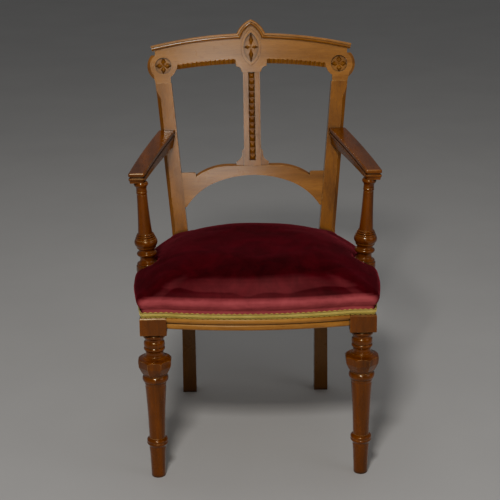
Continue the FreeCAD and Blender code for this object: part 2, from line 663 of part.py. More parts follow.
ARM_LEVELS = [
    (-48, 4.6), (-20, 2.4), (-17.5, 1.0), (-16, 0.4), (-13.6, 0.4), (-12.2, 1.4), (-11.9, 3.4), (-8.6, 3.4),
    (-8, 0.4), (-6.8, 0.0), (-2.8, 0.0), (-0.9, 0.9), (0, 2.8),
]
ARM_BOW = 4.0
ARM_DOWEL_R = 4.0
ARM_DOWEL_LONG = 40.0
ARM_DOWEL_Z = (ARM_UNDER_Z + 12, ARM_UNDER_Z + 27)


def arm(stile):
    """The arm on +X: its moulded top rises to the back, its underside is level, and it butts on the stile."""
    back = 380.0

    def section(z, inset):
        xi, xo = ARM_FRONT_X[0] + inset, ARM_FRONT_X[1] - inset
        bi, bo = ARM_BACK_X[0] + inset, ARM_BACK_X[1] - inset
        mi, mo = (xi + bi) / 2 + ARM_BOW, (xo + bo) / 2 + ARM_BOW
        return wire_of((xi + 3, inset), [(xo - 3, inset), (xo - 0.9, inset + 0.9, xo, inset + 3),
                                         (mo, back / 2, bo, back), (bi, back), (mi, back / 2, xi, inset + 3),
                                         (xi + 0.9, inset + 0.9, xi + 3, inset)], lambda x, y: V(x, y, z))

    board = lofted(section, ARM_LEVELS)
    board.rotate(ORIGIN, X_AXIS, ARM_SLOPE)
    board.translate(V(0, ARM_FRONT_Y, ARM_FRONT_Z))
    board = board.cut(on_back(block((0, 400), (0, 200), (100, 500))))
    board = board.cut(block((0, 400), (0, 700), (500, ARM_UNDER_Z)))
    return one_solid(board.cut(stile))


SUPPORT_TURNING = [
    (236, 13, 0), (233.4, 28, 0), (232, 29.5, 0), (225, 29.5, 1.2), (224, 26.5, 0), (213, 24, -1.0),
    (212, 22.6, 0), (206, 22.6, 1.0), (205, 22, 0), (203, 23.2, 0), (114, 32, -0.6), (113.5, 36, 0),
    (110.5, 36, 1.2), (110, 39.5, 0), (106, 39.5, 1.2), (105.5, 43.5, 0), (101, 46, 0.7), (100.5, 48.2, 0),
    (84, 44, 3.0), (78, 38, 1.2), (72, 37.4, -0.9), (71, 39.5, 0), (62, 39.5, 3.0), (61, 36, 0),
    (49, 34.6, -1.6), (46.5, 39, 0), (45.5, 44, 0), (41, 46, 1.4), (40, 48, 0), (37, 2 * DRUM_R, 0.8),
    (13, 2 * DRUM_R - 3, 1.0), (2, 30, -1.2), (0, 26, 0),
]
SUPPORT_FRAME = FreeCAD.Placement(
    V(SUPPORT_X, SUPPORT_Y, RAIL_TOP), FreeCAD.Rotation(Y_AXIS, SUPPORT_LEAN)).toMatrix()
SPIGOT_R = 7.0
SPIGOT_LONG = 22.0


def arm_support(arm_solid):
    """The turned post on +X, with a spigot at each end, and the arm with the spigot's hole."""
    top = SUPPORT_TURNING[0][0]
    post = turned(SUPPORT_TURNING)
    foot = Part.makeCylinder(SPIGOT_R, SPIGOT_LONG + 2, V(0, 0, -SPIGOT_LONG))
    head = Part.makeCylinder(SPIGOT_R - 0.5, 16, V(0, 0, top - 5))
    post = post.transformed(SUPPORT_FRAME, True)
    post = one_solid(post.cut(arm_solid))
    spigots = foot.fuse(head).transformed(SUPPORT_FRAME, True)
    limit = block((0, 400), (0, 300), (0, ARM_FRONT_Z - 6))
    return one_solid(post.fuse(spigots.common(limit)))


# ---- Upholstery ----

DOME = [                   # height, growth at front and sides, growth at the back, softness of the corners
    (400, 1.0, 1.0, 0.0), (407, 7.0, 4.5, 4.0), (416, 12.0, 6.0, 20.0), (424, 13.5, 2.0, 46.0),
    (430, 8.0, -8.0, 60.0), (436, -4.0, -24.0, 64.0), (442, -17.0, -37.0, 62.0), (449, -33.0, -48.0, 62.0),
    (456, -52.0, -60.0, 66.0), (463, -78.0, -80.0, 72.0), (469, -108.0, -105.0, 55.0),
    (SEAT_TOP, -128.0, -125.0, 38.0),
]
VELVET_THICK = 2.0
DRUM_NOTCH_R = DRUM_R + 1
STUFFING_SHY = 4.0         # the layers under the velvet stop this much further from the posts and stiles


def dome(inset, top, low=RAIL_TOP):
    """A stuffed seat's outer form, inset all round and brought down to a height."""
    share = (top - RAIL_TOP) / (SEAT_TOP - RAIL_TOP)
    levels = [(RAIL_TOP + (z - RAIL_TOP) * share, grow - inset, far - inset, soft)
              for z, grow, far, soft in DOME]
    if low < RAIL_TOP:
        skirt = max(VELVET_THICK - inset, 0.0)
        levels[0] = (RAIL_TOP, skirt, skirt)
        levels.insert(0, (low, skirt, skirt))
    return lofted(seat_section, levels)


def post_hole(radius):
    """The round hole in the seat for the drum of the post on +X, square to the leaning post."""
    hole = Part.makeCylinder(radius, 120, V(0, 0, -12)).transformed(SUPPORT_FRAME, True)
    return hole.common(block((0, 400), (0, 400), (RAIL_TOP, 700)))


def seat_layers(wood):
    """The layers of the stuffed seat, from the hessian over the springs out to the velvet."""
    skirt_low = LEDGE_Z + 0.6
    wadding_top = SEAT_TOP - VELVET_THICK
    calico_top = wadding_top - 6.0
    hessian_top = SPRING_HIGH + 13.5
    forms = {
        "void": dome(17.5, hessian_top - 1.5), "hessian": dome(16.0, hessian_top),
        "stuffing": dome(9.0, calico_top - 1.0), "calico": dome(8.0, calico_top),
        "wadding": dome(VELVET_THICK, wadding_top), "velvet": dome(0.0, SEAT_TOP, skirt_low),
    }
    hollow = dome(VELVET_THICK, wadding_top, skirt_low - 1)
    layers = {
        "hessian_spring_cover": forms["hessian"].cut(forms["void"]),
        "hair_stuffing": forms["stuffing"].cut(forms["hessian"]),
        "calico_undercover": forms["calico"].cut(forms["stuffing"]),
        "cotton_wadding": forms["wadding"].cut(forms["calico"]),
        "velvet_cover": forms["velvet"].cut(hollow),
    }
    hole = post_hole(DRUM_NOTCH_R)
    wide_hole = post_hole(DRUM_NOTCH_R + STUFFING_SHY)
    inner_x = STILE_INNER[-1][0] - STUFFING_SHY
    stile_room = block((inner_x, inner_x + 80), (BACK_Y - STUFFING_SHY, BACK_Y + 80), (RAIL_TOP, SEAT_TOP))
    room = {name: [wide_hole, mirrored(wide_hole), stile_room, mirrored(stile_room)] for name in layers}
    room["velvet_cover"] = [hole, mirrored(hole)]
    return {name: one_solid(layer.cut(wood + room[name])) for name, layer in layers.items()}


def gimp_braid(wood):
    """The band that covers the tacked edge of the velvet, parted where the wood comes through."""
    ring = seat_prism(4.5, LEDGE_Z + 0.6, LEDGE_Z + 14.0).cut(seat_prism(2.0, LEDGE_Z - 1, RAIL_TOP))
    return Part.makeCompound(ring.cut(wood).Solids)


# ---- Webbing, springs and lashing ----

STRAP_WIDE = 50.0
STRAP_THICK = 1.6
WEAVE_RISE = 1.0
LONG_STRAPS = [-120.0, -60.0, 0.0, 60.0, 120.0]
CROSS_STRAPS = [65.0, 140.0, 215.0, 290.0, 365.0]
STRAP_MID_Z = RAIL_FOOT - STRAP_THICK / 2
TACK_IN = 6.0              # from a web's end to its row of tacks
TACK_SPREAD = (-18.0, -6.0, 6.0, 18.0)
SPRING_SPOTS = [(-60.0, 140.0), (60.0, 140.0), (0.0, 215.0), (-60.0, 290.0), (60.0, 290.0)]


def strap(start, stop, crossings, first_up, to_point, width_dir):
    """One web that passes over and under the others, from one rail to the other."""
    half = STRAP_WIDE / 2 + 2
    path = [(start, 0.0), (crossings[0] - half - 8, 0.0)]
    for k, spot in enumerate(crossings):
        rise = WEAVE_RISE if (k % 2 == 0) == first_up else -WEAVE_RISE
        path += [(spot - half + 4, rise), (spot + half - 4, rise)]
    path += [(crossings[-1] + half + 8, 0.0), (stop, 0.0)]
    lower = [to_point(s, STRAP_MID_Z + h - STRAP_THICK / 2) for s, h in path]
    upper = [to_point(s, STRAP_MID_Z + h + STRAP_THICK / 2) for s, h in reversed(path)]
    face = Part.Face(Part.makePolygon(lower + upper + [lower[0]]))
    return face.extrude(width_dir)


def webbing():
    """Both sets of webs, and the rail-end spots where their tacks go."""
    long_webs, cross_webs, spots = [], [], []
    rail_mid_front = TACKED_FRONT_Y + RAIL_THICK / 2
    back_mid = BACK_CORNER[1] - RAIL_THICK / 2
    for k, x in enumerate(LONG_STRAPS):
        start, stop = rail_mid_front - 8, back_mid + 8
        long_webs.append(strap(start, stop, CROSS_STRAPS, k % 2 == 0, lambda s, z: V(x - STRAP_WIDE / 2, s, z),
                               V(STRAP_WIDE, 0, 0)))
        spots += [(x + d, y) for y in (start + TACK_IN, stop - TACK_IN) for d in TACK_SPREAD]
    for k, y in enumerate(CROSS_STRAPS):
        reach = seat_side_x(y + STRAP_WIDE / 2, 0) - 8
        near_edge = y - STRAP_WIDE / 2
        cross_webs.append(strap(-reach, reach, LONG_STRAPS, k % 2 == 1, lambda s, z: V(s, near_edge, z),
                                V(0, STRAP_WIDE, 0)))
        spots += [(side * (reach - TACK_IN), y + d) for side in (-1, 1) for d in TACK_SPREAD]
    return long_webs, cross_webs, spots


def tack(head_r, head_thick, long):
    """A cut tack on the Z axis, point up, with its head's outer face at z = 0."""
    return turned([(long, 0.5, 0), (head_thick, 1.7, 0), (head_thick, 2 * head_r, 0), (0, 2 * head_r - 0.8, 0)])


def webbing_tacks(spots):
    """The tacks that hold the webs to the underside of the rails."""
    nail = tack(3.2, 1.0, 13)
    nails = []
    for x, y in spots:
        copy = nail.copy()
        copy.translate(V(x, y, RAIL_FOOT - STRAP_THICK - 1.0))
        nails.append(copy)
    return nails


SPRING_WIRE_R = 1.7
SPRING_LOW = RAIL_FOOT + WEAVE_RISE + SPRING_WIRE_R + 0.1
SPRING_HIGH = 424.0
SPRING_R = (34.0, 22.0)
SPRING_TURNS = 4
TURN_POINTS = 10


def seat_spring(x, y):
    """A double-cone seat spring: one round wire that narrows to the waist and widens again."""
    count = SPRING_TURNS * TURN_POINTS
    points = []
    for k in range(count + 1):
        share = k / count
        turn = 2 * math.pi * SPRING_TURNS * share
        radius = SPRING_R[0] - (SPRING_R[0] - SPRING_R[1]) * math.sin(math.pi * share)
        height = SPRING_LOW + (SPRING_HIGH - SPRING_LOW) * share
        points.append(V(x + radius * math.cos(turn), y + radius * math.sin(turn), height))
    curve = Part.BSplineCurve()
    curve.interpolate(points)
    path = Part.Wire(curve.toShape())
    section = Part.Wire(Part.makeCircle(SPRING_WIRE_R, points[0], curve.tangent(curve.FirstParameter)[0]))
    sweep = Part.BRepOffsetAPI.MakePipeShell(path)
    sweep.setFrenetMode(True)
    sweep.add(section)
    sweep.build()
    sweep.makeSolid()
    return sweep.shape()


LASH_R = 1.3
CORD_NAIL_DROP = 6.0
CORD_LEVEL_Y = (110.0, 320.0)   # the lengthwise cords run level over the springs between these
CORD_LEVEL_X = 100.0


def lashing(wood):
    """Cords that tie the springs down, from rail to rail both ways."""
    cords = []
    nail_z = RAIL_TOP - CORD_NAIL_DROP
    low_z = SPRING_HIGH + SPRING_WIRE_R + LASH_R + 0.2
    high_z = low_z + 2 * LASH_R + 0.2
    front_y = TACKED_FRONT_Y - FRONT_BOW
    back_y_in = BACK_CORNER[1] - RAIL_THICK / 2
    for x in sorted({spot[0] for spot in SPRING_SPOTS}):
        cords.append(cord([V(x, front_y, nail_z), V(x, CORD_LEVEL_Y[0], high_z), V(x, CORD_LEVEL_Y[1], high_z),
                           V(x, back_y_in, nail_z)]))
    for y in sorted({spot[1] for spot in SPRING_SPOTS}):
        reach = seat_side_x(y, -RAIL_THICK / 2)
        cords.append(cord([V(-reach, y, nail_z), V(-CORD_LEVEL_X, y, low_z), V(CORD_LEVEL_X, y, low_z),
                           V(reach, y, nail_z)]))
    return Part.makeCompound([one_solid(string.cut(wood)) for string in cords])


def cord(points):
    """A taut cord: straight runs with a ball at each bend."""
    runs = []
    for a, b in zip(points, points[1:]):
        runs.append(Part.makeCylinder(LASH_R, b.sub(a).Length, a, b.sub(a)))
    balls = [Part.makeSphere(LASH_R, p) for p in points[1:-1]]
    return one_solid(runs[0].fuse(runs[1:] + balls))


# ---- Assembly ----

def both_sides(solids, name, shape):
    """Adds a part for the sitter's left (+X) and its mirror for the right."""
    solids[name + "_left"] = shape
    solids[name + "_right"] = mirrored(shape)


FRONT_BLOCK_END = (127.0, 108.0)  # the long side of a front glue block runs between these
BACK_BLOCK_END = (96.0, 352.0)
SCREW_LONG = 40.0
FRONT_SCREWS = ((168.0, 34.0), (201.0, 70.0))
BACK_SCREWS = ((128.0, 403.0), (158.0, 378.0))


def corner_blocks(rails):
    """Front and back glue blocks on +X, cut to fit round the rails and legs."""
    near_y = TACKED_FRONT_Y + RAIL_THICK - 6
    wide_x = seat_side_x(LEG_BLOCK, -RAIL_THICK) + 6
    front = slab_z((FRONT_BLOCK_END[0], near_y), [(wide_x, near_y), (wide_x, FRONT_BLOCK_END[1])], *BLOCK_Z)
    far_y = BACK_CORNER[1] - RAIL_THICK + 6
    far_x = seat_side_x(BACK_BLOCK_END[1] + 8, -RAIL_THICK) + 4
    back = slab_z((BACK_BLOCK_END[0], far_y), [(far_x, far_y), (far_x, BACK_BLOCK_END[1])], *BLOCK_Z)
    return one_solid(front.cut(rails)), one_solid(back.cut(rails))


def block_screws():
    """Two screws through each glue block on +X, one into each rail."""
    screw = wood_screw(SCREW_LONG)
    mid_z = sum(BLOCK_Z) / 2
    aims = zip(FRONT_SCREWS + BACK_SCREWS, (V(0, -1, 0), X_AXIS, Y_AXIS, X_AXIS))
    return [aimed(screw, V(*spot, mid_z), way) for spot, way in aims]


CREST_DOWEL_R = 4.5
CREST_DOWEL_LONG = 44.0
CREST_DOWEL_X = (-7.5, 8.5)
ARCH_TENON_X = (160.0, 185.0)
ARCH_TENON_W = (112.0, 160.0)


def back_frame(leg_back):
    """Every piece of the back, jointed to the stiles, with the leg that has the mortises."""
    arch = arched_rail()
    crest = carve_lower_edge(crest_rail())
    run, hood = cornice()
    post = splat(arch)
    bracket = splat_bracket(arch, post)
    arch = one_solid(arch.cut(post))
    crest = one_solid(crest.cut([post, run, hood, mirrored(run), mirrored(hood)]))
    tenon = block(ARCH_TENON_X, (ARCH_SHY + 6, ARCH_SHY + 6 + TENON_THICK), ARCH_TENON_W)
    arch = on_back(arch).cut([leg_back, mirrored(leg_back)])
    arch = one_solid(arch.fuse([on_back(tenon), on_back(mirrored(tenon))]))
    dowel_w = STILE_TOP_W - CREST_DOWEL_LONG / 2
    dowels = [on_back(Part.makeCylinder(CREST_DOWEL_R, CREST_DOWEL_LONG,
                                        V(side * (ROUNDEL_X + dx), CREST_THICK / 2, dowel_w), Z_AXIS))
              for side in (1, -1) for dx in CREST_DOWEL_X]
    crest = one_solid(on_back(crest).cut(dowels))
    leg_back = one_solid(leg_back.cut(dowels + [arch]))
    pieces = {"crest_rail": crest, "arched_rail": arch, "splat": on_back(post),
              "crest_dowels": Part.makeCompound(dowels)}
    both_sides(pieces, "cornice", on_back(run))
    both_sides(pieces, "hood_moulding", on_back(hood))
    both_sides(pieces, "splat_bracket", on_back(bracket))
    return pieces, leg_back


def arm_pieces(leg_back, side_rail):
    """Arm, support and arm dowels on +X, with the leg and side rail that they are let into."""
    board = arm(leg_back)
    support = arm_support(board)
    board = one_solid(board.cut(support))
    side_rail = one_solid(side_rail.cut(support))
    mid_x = sum(ARM_BACK_X) / 2 + 2
    dowels = [Part.makeCylinder(ARM_DOWEL_R, ARM_DOWEL_LONG, V(mid_x, back_y(z) - ARM_DOWEL_LONG / 2, z), Y_AXIS)
              for z in ARM_DOWEL_Z]
    return one_solid(board.cut(dowels)), support, dowels, one_solid(leg_back.cut(dowels)), side_rail


def build():
    """Every node of the chair, by name."""
    front, side, back, leg_front, leg_back = seat_frame(front_leg(), back_leg())
    solids, leg_back = back_frame(leg_back)
    board, support, arm_dowels, leg_back, side = arm_pieces(leg_back, side)
    rails = [front, side, back, leg_front, leg_back]
    front_block, back_block = corner_blocks(rails)
    screws = block_screws()
    screws += [mirrored(screw) for screw in screws]
    long_webs, cross_webs, spots = webbing()
    tacks = webbing_tacks(spots)
    front, side, back, front_block, back_block = [
        one_solid(piece.cut([tool for tool in screws + tacks if tool.BoundBox.intersect(piece.BoundBox)]))
        for piece in (front, side, back, front_block, back_block)]
    solids["webbing_lengthwise"] = Part.makeCompound([web.cut(tacks) for web in long_webs])
    solids["webbing_crosswise"] = Part.makeCompound([web.cut(tacks) for web in cross_webs])
    solids["webbing_tacks"] = Part.makeCompound(tacks)
    solids["front_rail"] = front
    solids["back_rail"] = back
    both_sides(solids, "front_leg", leg_front)
    both_sides(solids, "back_leg", leg_back)
    both_sides(solids, "side_rail", side)
    both_sides(solids, "front_corner_block", front_block)
    both_sides(solids, "back_corner_block", back_block)
    both_sides(solids, "arm", board)
    both_sides(solids, "arm_support", support)
    solids["block_screws"] = Part.makeCompound(screws)
    solids["arm_dowels"] = Part.makeCompound(arm_dowels + [mirrored(d) for d in arm_dowels])

    wood = [front, back] + [s for piece in (leg_front, leg_back, side) for s in (piece, mirrored(piece))]
    solids.update(seat_layers(wood))
    solids["gimp_braid"] = gimp_braid(wood)
    solids["seat_springs"] = Part.makeCompound([seat_spring(x, y) for x, y in SPRING_SPOTS])
    solids["spring_lashing"] = lashing(wood)
    return solids


MESH_STEP = 0.3            # how closely the points that measure the footprint follow a curved face


def centred(solids):
    """Moves the whole chair so that the middle of its footprint box is the origin, on the floor."""
    points = [p for shape in solids.values() for p in shape.tessellate(MESH_STEP)[0]]
    near, far = min(p.y for p in points), max(p.y for p in points)
    shift = FreeCAD.Matrix()
    shift.move(V(0, -(near + far) / 2, -FLOOR_Z))
    print("moved", -(near + far) / 2, -FLOOR_Z, "from", near, far)
    return {name: shape.transformed(shift, True) for name, shape in solids.items()}


def main():
    os.makedirs("parts", exist_ok=True)
    for name, shape in centred(build()).items():
        limits = shape.BoundBox
        print(f"{name:24s} {shape.isValid()} {len(shape.Solids):4d} {shape.Volume:10.0f} "
              f"X {limits.XMin:7.1f} {limits.XMax:7.1f}  Y {limits.YMin:7.1f} {limits.YMax:7.1f}  "
              f"Z {limits.ZMin:7.1f} {limits.ZMax:7.1f}")
        shape.exportStep(os.path.join("parts", name + ".step"))


main()
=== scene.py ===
import math

import bpy
import numpy as np
from mathutils import Matrix, Vector, noise
from mathutils.bvhtree import BVHTree


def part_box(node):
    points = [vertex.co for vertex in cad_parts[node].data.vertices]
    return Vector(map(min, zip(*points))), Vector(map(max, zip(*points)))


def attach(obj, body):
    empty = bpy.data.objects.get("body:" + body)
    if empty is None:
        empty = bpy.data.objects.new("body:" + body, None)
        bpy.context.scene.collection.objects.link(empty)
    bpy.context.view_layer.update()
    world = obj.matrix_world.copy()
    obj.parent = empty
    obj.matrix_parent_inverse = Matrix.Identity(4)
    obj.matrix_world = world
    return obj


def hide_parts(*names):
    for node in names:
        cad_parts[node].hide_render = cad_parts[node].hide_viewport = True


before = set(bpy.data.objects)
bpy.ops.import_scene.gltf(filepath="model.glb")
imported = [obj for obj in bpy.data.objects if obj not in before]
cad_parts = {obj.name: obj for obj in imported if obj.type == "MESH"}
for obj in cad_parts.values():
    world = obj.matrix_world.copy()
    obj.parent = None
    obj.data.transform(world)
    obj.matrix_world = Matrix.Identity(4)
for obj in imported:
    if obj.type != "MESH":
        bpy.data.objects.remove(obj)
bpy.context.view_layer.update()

# Gothic revival open armchair: polished mahogany, a sprung seat in burgundy velvet, gold gimp braid.
# Metres. +X is the sitter's left, +Y is the back of the chair, +Z is up.

leg_low, leg_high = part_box("front_leg_left")
LEG_AXIS_Y = (leg_low.y + leg_high.y) / 2
RAIL_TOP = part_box("front_rail")[1].z
LEDGE = RAIL_TOP - 0.018


# ---------------------------------------------------------------- camera, floor and lights

def look_from(name, place, yaw, pitch, roll):
    """A camera at a place: yaw to the right of +Y, pitch down, roll clockwise, in radians."""
    ahead = Vector((math.sin(yaw) * math.cos(pitch), math.cos(yaw) * math.cos(pitch), -math.sin(pitch)))
    right = Vector((math.cos(yaw), -math.sin(yaw), 0.0))
    down = ahead.cross(right)
    side = right * math.cos(roll) - down * math.sin(roll)
    under = right * math.sin(roll) + down * math.cos(roll)
    camera = bpy.data.objects.new(name, bpy.data.cameras.new(name))
    turn = Matrix((side, -under, -ahead)).transposed().to_4x4()
    camera.matrix_world = Matrix.Translation(place) @ turn
    bpy.context.scene.collection.objects.link(camera)
    return camera


camera = look_from("camera", Vector((-0.0549, LEG_AXIS_Y - 2.9502, 1.4866)), 0.0133, 0.3141, -0.0123)
camera.data.lens = 104.4
camera.data.sensor_width = 36.0
camera.data.dof.use_dof = False
bpy.context.scene.camera = camera


def soft_light(name, place, aim, size, power, tint=(1.0, 1.0, 1.0)):
    lamp = bpy.data.lights.new(name, "AREA")
    lamp.shape = "RECTANGLE"
    lamp.size, lamp.size_y = size
    lamp.energy = power
    lamp.color = tint
    piece = bpy.data.objects.new(name, lamp)
    piece.location = place
    piece.rotation_euler = (Vector(aim) - Vector(place)).to_track_quat("-Z", "Y").to_euler()
    bpy.context.scene.collection.objects.link(piece)
    return piece


CHAIR_MIDDLE = (0.0, 0.0, 0.5)
soft_light("key_light", (-0.45, -3.0, 2.9), CHAIR_MIDDLE, (0.55, 0.45), 72, (1.0, 0.97, 0.93))
soft_light("front_light", (-0.12, -4.3, 1.6), CHAIR_MIDDLE, (0.4, 0.9), 9, (1.0, 0.93, 0.87))
soft_light("fill_light", (2.6, -1.6, 1.7), CHAIR_MIDDLE, (1.6, 1.6), 6, (0.93, 0.96, 1.0))
soft_light("top_light", (0.0, 0.6, 3.2), CHAIR_MIDDLE, (2.0, 2.0), 9)


# ---------------------------------------------------------------- node helpers

def socket_in(group, name, kind, value=None):
    made = group.interface.new_socket(name=name, in_out="INPUT", socket_type=kind)
    if value is not None:
        made.default_value = value
    return made


def socket_out(group, name, kind):
    return group.interface.new_socket(name=name, in_out="OUTPUT", socket_type=kind)


def node(tree, kind, settings=None, **inputs):
    """Adds a node. Settings are its own properties; inputs are values or other nodes' sockets."""
    made = tree.nodes.new(kind)
    for key, value in (settings or {}).items():
        setattr(made, key, value)
    for key, value in inputs.items():
        by_number = key[0] == "i" and key[1:].isdigit()
        target = made.inputs[int(key[1:]) if by_number else key.replace("_", " ")]
        if isinstance(value, bpy.types.NodeSocket):
            tree.links.new(value, target)
        else:
            target.default_value = value
    return made


def sums(tree, operation, a, b=0.0, clamp=False):
    return node(tree, "ShaderNodeMath", {"operation": operation, "use_clamp": clamp}, i0=a, i1=b).outputs[0]


def mixed(tree, factor, a, b, blend="MIX"):
    """Mixes two colours."""
    made = node(tree, "ShaderNodeMix", {"data_type": "RGBA", "blend_type": blend})
    for index, value in ((0, factor), (6, a), (7, b)):
        if isinstance(value, bpy.types.NodeSocket):
            tree.links.new(value, made.inputs[index])
        else:
            made.inputs[index].default_value = value
    return made.outputs[2]


def spread(tree, value, low, high, to_low=0.0, to_high=1.0):
    made = node(tree, "ShaderNodeMapRange", {"clamp": True}, i0=value, i1=low, i2=high, i3=to_low, i4=to_high)
    return made.outputs[0]


def scaled_place(tree, vector, stretch):
    """Object coordinates, multiplied by a stretch."""
    return node(tree, "ShaderNodeVectorMath", {"operation": "MULTIPLY"}, i0=vector, i1=stretch).outputs[0]


def noise_of(tree, vector, scale, detail=3.0, rough=0.5, distortion=0.0):
    made = node(tree, "ShaderNodeTexNoise", None, Vector=vector, Scale=scale, Detail=detail, Roughness=rough,
                Distortion=distortion)
    return made.outputs[0]


def new_group(name, inputs, outputs):
    group = bpy.data.node_groups.new(name, "ShaderNodeTree")
    for label, kind, value in inputs:
        socket_in(group, label, kind, value)
    for label, kind in outputs:
        socket_out(group, label, kind)
    return group, group.nodes.new("NodeGroupInput"), group.nodes.new("NodeGroupOutput")


FLOAT, COLOUR, VECTOR = "NodeSocketFloat", "NodeSocketColor", "NodeSocketVector"


# ---------------------------------------------------------------- shared surface effects

def timber_group():
    """Grain figure, fibres and open pores along one direction, with streaks in the polish."""
    group, given, out = new_group(
        "timber_figure",
        [("Stretch", VECTOR, (1, 1, 1)), ("Light", COLOUR, (0.4, 0.16, 0.05, 1)),
         ("Dark", COLOUR, (0.1, 0.03, 0.01, 1)),
         ("Figure", FLOAT, 0.6), ("Gloss", FLOAT, 0.25)],
        [("Colour", COLOUR), ("Roughness", FLOAT), ("Height", FLOAT)])
    place = node(group, "ShaderNodeTexCoord").outputs["Object"]
    along = scaled_place(group, place, given.outputs["Stretch"])
    figure = noise_of(group, along, 16.0, 4.0, 0.55, 0.9)
    bands = node(group, "ShaderNodeTexWave", {"wave_type": "BANDS", "bands_direction": "DIAGONAL"}, Vector=along,
                 Scale=9.0, Distortion=7.0, Detail=3.0, Detail_Scale=1.4).outputs[1]
    fibre = noise_of(group, along, 210.0, 5.0, 0.65, 0.3)
    pores = noise_of(group, along, 620.0, 2.0, 0.5)
    broad = sums(group, "MULTIPLY", spread(group, figure, 0.32, 0.70), 0.62)
    banded = sums(group, "MULTIPLY", bands, 0.38)
    tone = sums(group, "ADD", broad, banded)
    tone = sums(group, "MULTIPLY", tone, given.outputs["Figure"])
    fine = spread(group, fibre, 0.28, 0.72, -0.20, 0.20)
    tone = sums(group, "ADD", tone, fine, True)
    colour = mixed(group, tone, given.outputs["Light"], given.outputs["Dark"])
    flecks = spread(group, pores, 0.60, 0.72)
    colour = mixed(group, sums(group, "MULTIPLY", flecks, 0.55), colour, given.outputs["Dark"])
    group.links.new(colour, out.inputs["Colour"])
    smear = noise_of(group, place, 24.0, 4.0, 0.6)
    rough = sums(group, "ADD", given.outputs["Gloss"], spread(group, smear, 0.35, 0.7, -0.04, 0.10))
    rough = sums(group, "ADD", rough, sums(group, "MULTIPLY", flecks, 0.18))
    group.links.new(rough, out.inputs["Roughness"])
    height = sums(group, "SUBTRACT", sums(group, "MULTIPLY", fibre, 0.35), flecks)
    group.links.new(height, out.inputs["Height"])
    return group


def age_and_painted_light_group():
    """Masks: wax and dust in hollows plus painted shade there, rubbed edges plus a painted highlight."""
    group, given, out = new_group(
        "polish_age_and_painted_light", [("Hollow Reach", FLOAT, 0.012), ("Edge Reach", FLOAT, 0.0016)],
        [("Hollow", FLOAT), ("Edge", FLOAT), ("Eased Normal", VECTOR)])
    # Ambient occlusion finds the hollows: partly old wax and dust, partly painted shade where light is shut out.
    shade = node(group, "ShaderNodeAmbientOcclusion", {"samples": 6}, Distance=given.outputs["Hollow Reach"])
    place = node(group, "ShaderNodeTexCoord").outputs["Object"]
    patch = noise_of(group, place, 60.0, 4.0, 0.6)
    closed = spread(group, shade.outputs["AO"], 0.86, 0.44)
    hollow = sums(group, "MULTIPLY", closed, spread(group, patch, 0.25, 0.6, 0.6, 1.0))
    group.links.new(hollow, out.inputs["Hollow"])
    # The bevel finds the edges: partly polish rubbed thin, partly a painted highlight along them.
    eased = node(group, "ShaderNodeBevel", {"samples": 6}, Radius=given.outputs["Edge Reach"]).outputs[0]
    true = node(group, "ShaderNodeNewGeometry").outputs["Normal"]
    agree = node(group, "ShaderNodeVectorMath", {"operation": "DOT_PRODUCT"}, i0=eased, i1=true).outputs["Value"]
    edge = spread(group, agree, 0.995, 0.90)
    edge = sums(group, "MULTIPLY", edge, spread(group, patch, 0.40, 0.62))
    edge = sums(group, "MULTIPLY", edge, sums(group, "SUBTRACT", 1.0, closed, True))
    group.links.new(edge, out.inputs["Edge"])
    group.links.new(eased, out.inputs["Eased Normal"])
    return group


def weave_group():
    """Threads that cross at right angles, as a height and a shade from gap to crown."""
    group, given, out = new_group(
        "crossed_threads", [("Threads", FLOAT, 900.0), ("Unevenness", FLOAT, 0.35)],
        [("Crown", FLOAT), ("Slub", FLOAT)])
    place = node(group, "ShaderNodeTexCoord").outputs["Object"]
    wobble = noise_of(group, place, 55.0, 3.0)
    shift = sums(group, "MULTIPLY", wobble, given.outputs["Unevenness"])
    parts = node(group, "ShaderNodeSeparateXYZ", None, i0=place)
    crowns = []
    for axis in (0, 1):
        run = sums(group, "MULTIPLY", parts.outputs[axis], given.outputs["Threads"])
        run = sums(group, "ADD", run, sums(group, "MULTIPLY", shift, 9.0))
        crowns.append(sums(group, "ABSOLUTE", sums(group, "SINE", run)))
    group.links.new(sums(group, "MAXIMUM", crowns[0], crowns[1]), out.inputs["Crown"])
    group.links.new(noise_of(group, place, 160.0, 4.0, 0.6), out.inputs["Slub"])
    return group


TIMBER = timber_group()
AGE_AND_PAINTED_LIGHT = age_and_painted_light_group()
WEAVE = weave_group()


def use(tree, group, **inputs):
    placed = tree.nodes.new("ShaderNodeGroup")
    placed.node_tree = group
    for key, value in inputs.items():
        placed.inputs[key.replace("_", " ")].default_value = value
    return placed


def fresh_material(name):
    material = bpy.data.materials.new(name)
    material.use_nodes = True
    tree = material.node_tree
    return material, tree, tree.nodes["Principled BSDF"]


def relief(tree, height, strength, distance, normal=None):
    bump = node(tree, "ShaderNodeBump", None, Strength=strength, Distance=distance, Height=height)
    if normal is not None:
        tree.links.new(normal, bump.inputs["Normal"])
    return bump.outputs[0]


def opaque(colour):
    return (colour[0], colour[1], colour[2], 1.0)


# ---------------------------------------------------------------- woods

RED_LIGHT = (0.33, 0.112, 0.008)
RED_DARK = (0.075, 0.015, 0.001)
# Light brown for polish rubbed thin on edges and for a painted highlight there.
RUBBED_AND_HIGHLIGHT = (0.66, 0.38, 0.13)
# Dark brown for old wax in hollows and for painted shade.
WAX_AND_SHADE = (0.018, 0.007, 0.004)
GRAIN = {"x": (0.10, 1.0, 1.0), "y": (1.0, 0.10, 1.0), "z": (1.0, 1.0, 0.10)}


